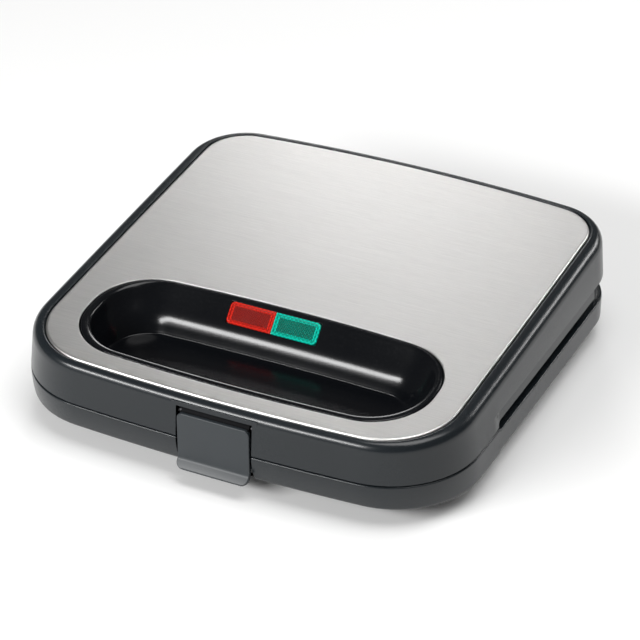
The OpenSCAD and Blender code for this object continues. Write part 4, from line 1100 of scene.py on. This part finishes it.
# Screws repeat, so Geometry Nodes grows them; the feet are lofted
# millimetres, then shares of the head: band, dome's top and cross
screwSet = {
    "shank": 1.5, "head": 2.6, "headHeight": 1.7, "slot": 0.7, "slotDeep": 1.6, "twist": 0.4,
    "band": 0.6, "domeTop": 0.7, "cross": 1.2,
}
footSet = {"radius": 8, "height": 4.3, "dimple": 3.4, "x": 78, "front": -62, "rear": 86}
feetAt = [(x, y) for x in (-footSet["x"], footSet["x"]) for y in (footSet["front"], footSet["rear"])]


def screwTree(material, s=screwSet):
    # a cross-headed screw: band and dome, less the cross, on a plain shank
    tree, o = geometryTree("screws", "Shank Radius", "Head Radius", "Head Height", "Slot Width", "Length",
                           "Turn")

    def product(a, b):
        return add(tree, "ShaderNodeMath", {"operation": "MULTIPLY"}, i0=a, i1=b).outputs[0]

    def moved(made, z):
        spot = vector(tree, 0.0, 0.0, z)
        return add(tree, "GeometryNodeTransform", Geometry=made.outputs[0], Translation=spot)

    def combined(kind, first, others):
        made = add(tree, "GeometryNodeMeshBoolean", {"operation": kind, "solver": "EXACT"})
        if first:
            tree.links.new(first.outputs[0], made.inputs[0])
        for other in others:
            tree.links.new(other.outputs[0], made.inputs[1])
        return made

    radius, high = o["Head Radius"], o["Head Height"]
    band = add(tree, "GeometryNodeMeshCylinder", Vertices=36, Radius=radius,
               Depth=product(high, s["band"]))
    dome = add(tree, "GeometryNodeMeshCone", Vertices=36, Radius_Top=radius,
               Radius_Bottom=product(radius, s["domeTop"]), Depth=product(high, 1 - s["band"]))
    shank = add(tree, "GeometryNodeMeshCylinder", Vertices=20, Radius=o["Shank Radius"],
                Depth=o["Length"])
    long, wide, deep = product(radius, s["cross"]), o["Slot Width"], s["slotDeep"] * mm
    bars = [add(tree, "GeometryNodeMeshCube", Size=vector(tree, x, y, deep))
            for x, y in ((long, wide), (wide, long))]
    solidHead = combined("UNION", None, [moved(band, product(high, -s["band"] / 2)),
                                         moved(dome, product(high, -1.0))])
    cross = combined("UNION", None, [moved(bar, product(high, -1.0)) for bar in bars])
    whole = add(tree, "GeometryNodeJoinGeometry")
    for made in (combined("DIFFERENCE", solidHead, [cross]), moved(shank, product(o["Length"], 0.5))):
        tree.links.new(made.outputs[0], whole.inputs[0])
    return scatter(tree, o["Geometry"], whole.outputs[0], vector(tree, o["Turn"], 0.0, s["twist"]), material)


def makeScrews(name, points, length, down=False, s=screwSet):
    return grow(screwTree(materials["screw"]), name, points, {
        "Shank Radius": s["shank"] * mm, "Head Radius": s["head"] * mm, "Head Height": s["headHeight"] * mm,
        "Slot Width": s["slot"] * mm, "Length": length * mm, "Turn": pi if down else 0.0})


plateScrews = [(side * plateSet["screwX"], plateSet["y"] + end * plateSet["screwY"])
               for side in (-1, 1) for end in (-1, 1)]
screwGroups = [
    ("footScrews", "foot_screws", "base", [(x, y, 2.9) for x, y in feetAt], 4.2, False),
    ("coverScrews", "cover_screws", "base",
     [(x, y, 10.5) for x in (-95, 95) for y in (-95, 104.4)] + [(0, -98, 10.5)], 7.5, False),
    ("lowerPlateScrews", "lower_plate_screws", "base", [(x, y, 20) for x, y in plateScrews], 4.1, False),
    ("upperPlateScrews", "upper_plate_screws", "lid", [(x, y, 30) for x, y in plateScrews], 4.1, True),
    ("linerScrews", "liner_screws", "lid",
     [(s * x, y, z) for s in (-1, 1) for x, y, z in ((105.5, -75, 27.3), (105.5, -40, 27.3), (70, 98.3, 28))],
     8.5, False),
]
for name, node, body, points, length, down in screwGroups:
    piece(makeScrews(name, points, length, down), body, "screw", [node], 30)
print("screws made")


def makeFeet(s=footSet):
    r, hole, high, middle = s["radius"], s["dimple"], s["height"], 0.01
    profile = [(middle, 0.4), (hole - 0.3, 0.4), (hole, 0.25), (hole + 0.2, 0), (r - 1.1, 0), (r - 0.4, 0.25),
               (r - 0.08, 0.75), (r, 1.2), (r, high), (middle, high)]
    shape = Shape()
    for place in feetAt:
        shape.capped(tube(place, profile, 48))
    return solid(shape, "feet")


piece(makeFeet(), "base", "rubber", ["feet"], 40)
print("feet made")


# CAD nodes that stay take their finish here
finishes = {
    "base_cover": "inner", "lower_heater": "sheath", "upper_heater": "sheath", "lower_shield": "sheet",
    "upper_shield": "sheet", "thermostat": "sheet", "terminal_block": "pale", "cord_gland": "rubber",
    "gland_ring": "rubber", "base_leads": "sleeve", "left_hinge_pin": "screw", "right_hinge_pin": "screw",
    "lid_liner": "inner", "thermal_fuse": "pale", "fuse_clip": "sheet", "lid_leads": "sleeve",
    "lamp_holder": "pale", "red_lamp": "lamp", "green_lamp": "lamp", "latch_pin": "darkPin",
}
for node, key in finishes.items():
    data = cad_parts[node].data
    data.materials.clear()
    data.materials.append(materials[key])
print("kept nodes finished:", len(finishes))


# Floor, backdrop and light
studioSet = {"size": 6, "floor": 0.94, "warm": 0.995, "glow": 0.03, "world": 0.12, "aim": (0, 0, 0.03)}
# place, size (metres) and power (watts) of each lamp
lampSet = {
    "frontStrip": ((-0.57, -1.19, 0.70), (1.0, 0.2), 21),
    "rearBox": ((-0.56, 1.25, 0.62), (0.35, 0.35), 2.7),
    "rightStrip": ((0.63, 1.06, 0.6), (0.5, 0.18), 4),
    "topBox": ((0.35, -0.05, 1.5), (0.9, 1.2), 15.5),
}


def seenBy(tree, first, second):
    # 1 for the two kinds of ray, 0 for all others
    path = add(tree, "ShaderNodeLightPath").outputs
    return add(tree, "ShaderNodeMath", {"operation": "MAXIMUM"}, i0=path[first], i1=path[second]).outputs[0]


def blend(tree, share, a, b):
    mix = add(tree, "ShaderNodeMixShader", i0=share, i1=a.outputs[0], i2=b.outputs[0])
    return mix.outputs[0]


def makeFloor(s=studioSet):
    d = s["size"]
    data = bpy.data.meshes.new("floor")
    data.from_pydata([(-d, -d, 0), (d, -d, 0), (d, d, 0), (-d, d, 0)], [], [[0, 1, 2, 3]])
    look = Look("paleFloor", (s["floor"], s["floor"], s["floor"] * s["warm"]), 0.9, Specular_IOR_Level=0.1)
    tree = look.tree
    share = add(tree, "ShaderNodeMath", {"operation": "MULTIPLY"},
                i0=seenBy(tree, "Is Camera Ray", "Is Glossy Ray"), i1=s["glow"])
    white = add(tree, "ShaderNodeEmission", Strength=1.0)
    surface = blend(tree, share.outputs[0], look.shader, white)
    tree.links.new(surface, tree.nodes["Material Output"].inputs["Surface"])
    data.materials.append(look.material)
    newObject("floor", data)


def makeWorld(s=studioSet):
    world = bpy.data.worlds.new("studio")
    bpy.context.scene.world = world
    world.use_nodes = True
    tree = world.node_tree
    tree.nodes.clear()
    soft, white = [add(tree, "ShaderNodeBackground", Strength=k) for k in (s["world"], 1.0)]
    seen = seenBy(tree, "Is Camera Ray", "Is Transmission Ray")
    add(tree, "ShaderNodeOutputWorld", Surface=blend(tree, seen, soft, white))


def softBox(name, place, size, power, aim=studioSet["aim"]):
    lamp = bpy.data.lights.new(name, "AREA")
    lamp.shape = "RECTANGLE"
    lamp.size, lamp.size_y = size
    lamp.energy = power
    obj = newObject(name, lamp)
    obj.location = place
    obj.rotation_mode = "QUATERNION"
    obj.rotation_quaternion = (Vector(aim) - Vector(place)).to_track_quat("-Z", "Y")


makeFloor()
makeWorld()
for name, (place, size, power) in lampSet.items():
    softBox(name, place, size, power)
print("studio lit")
bpy.context.scene.view_settings.view_transform = "Standard"
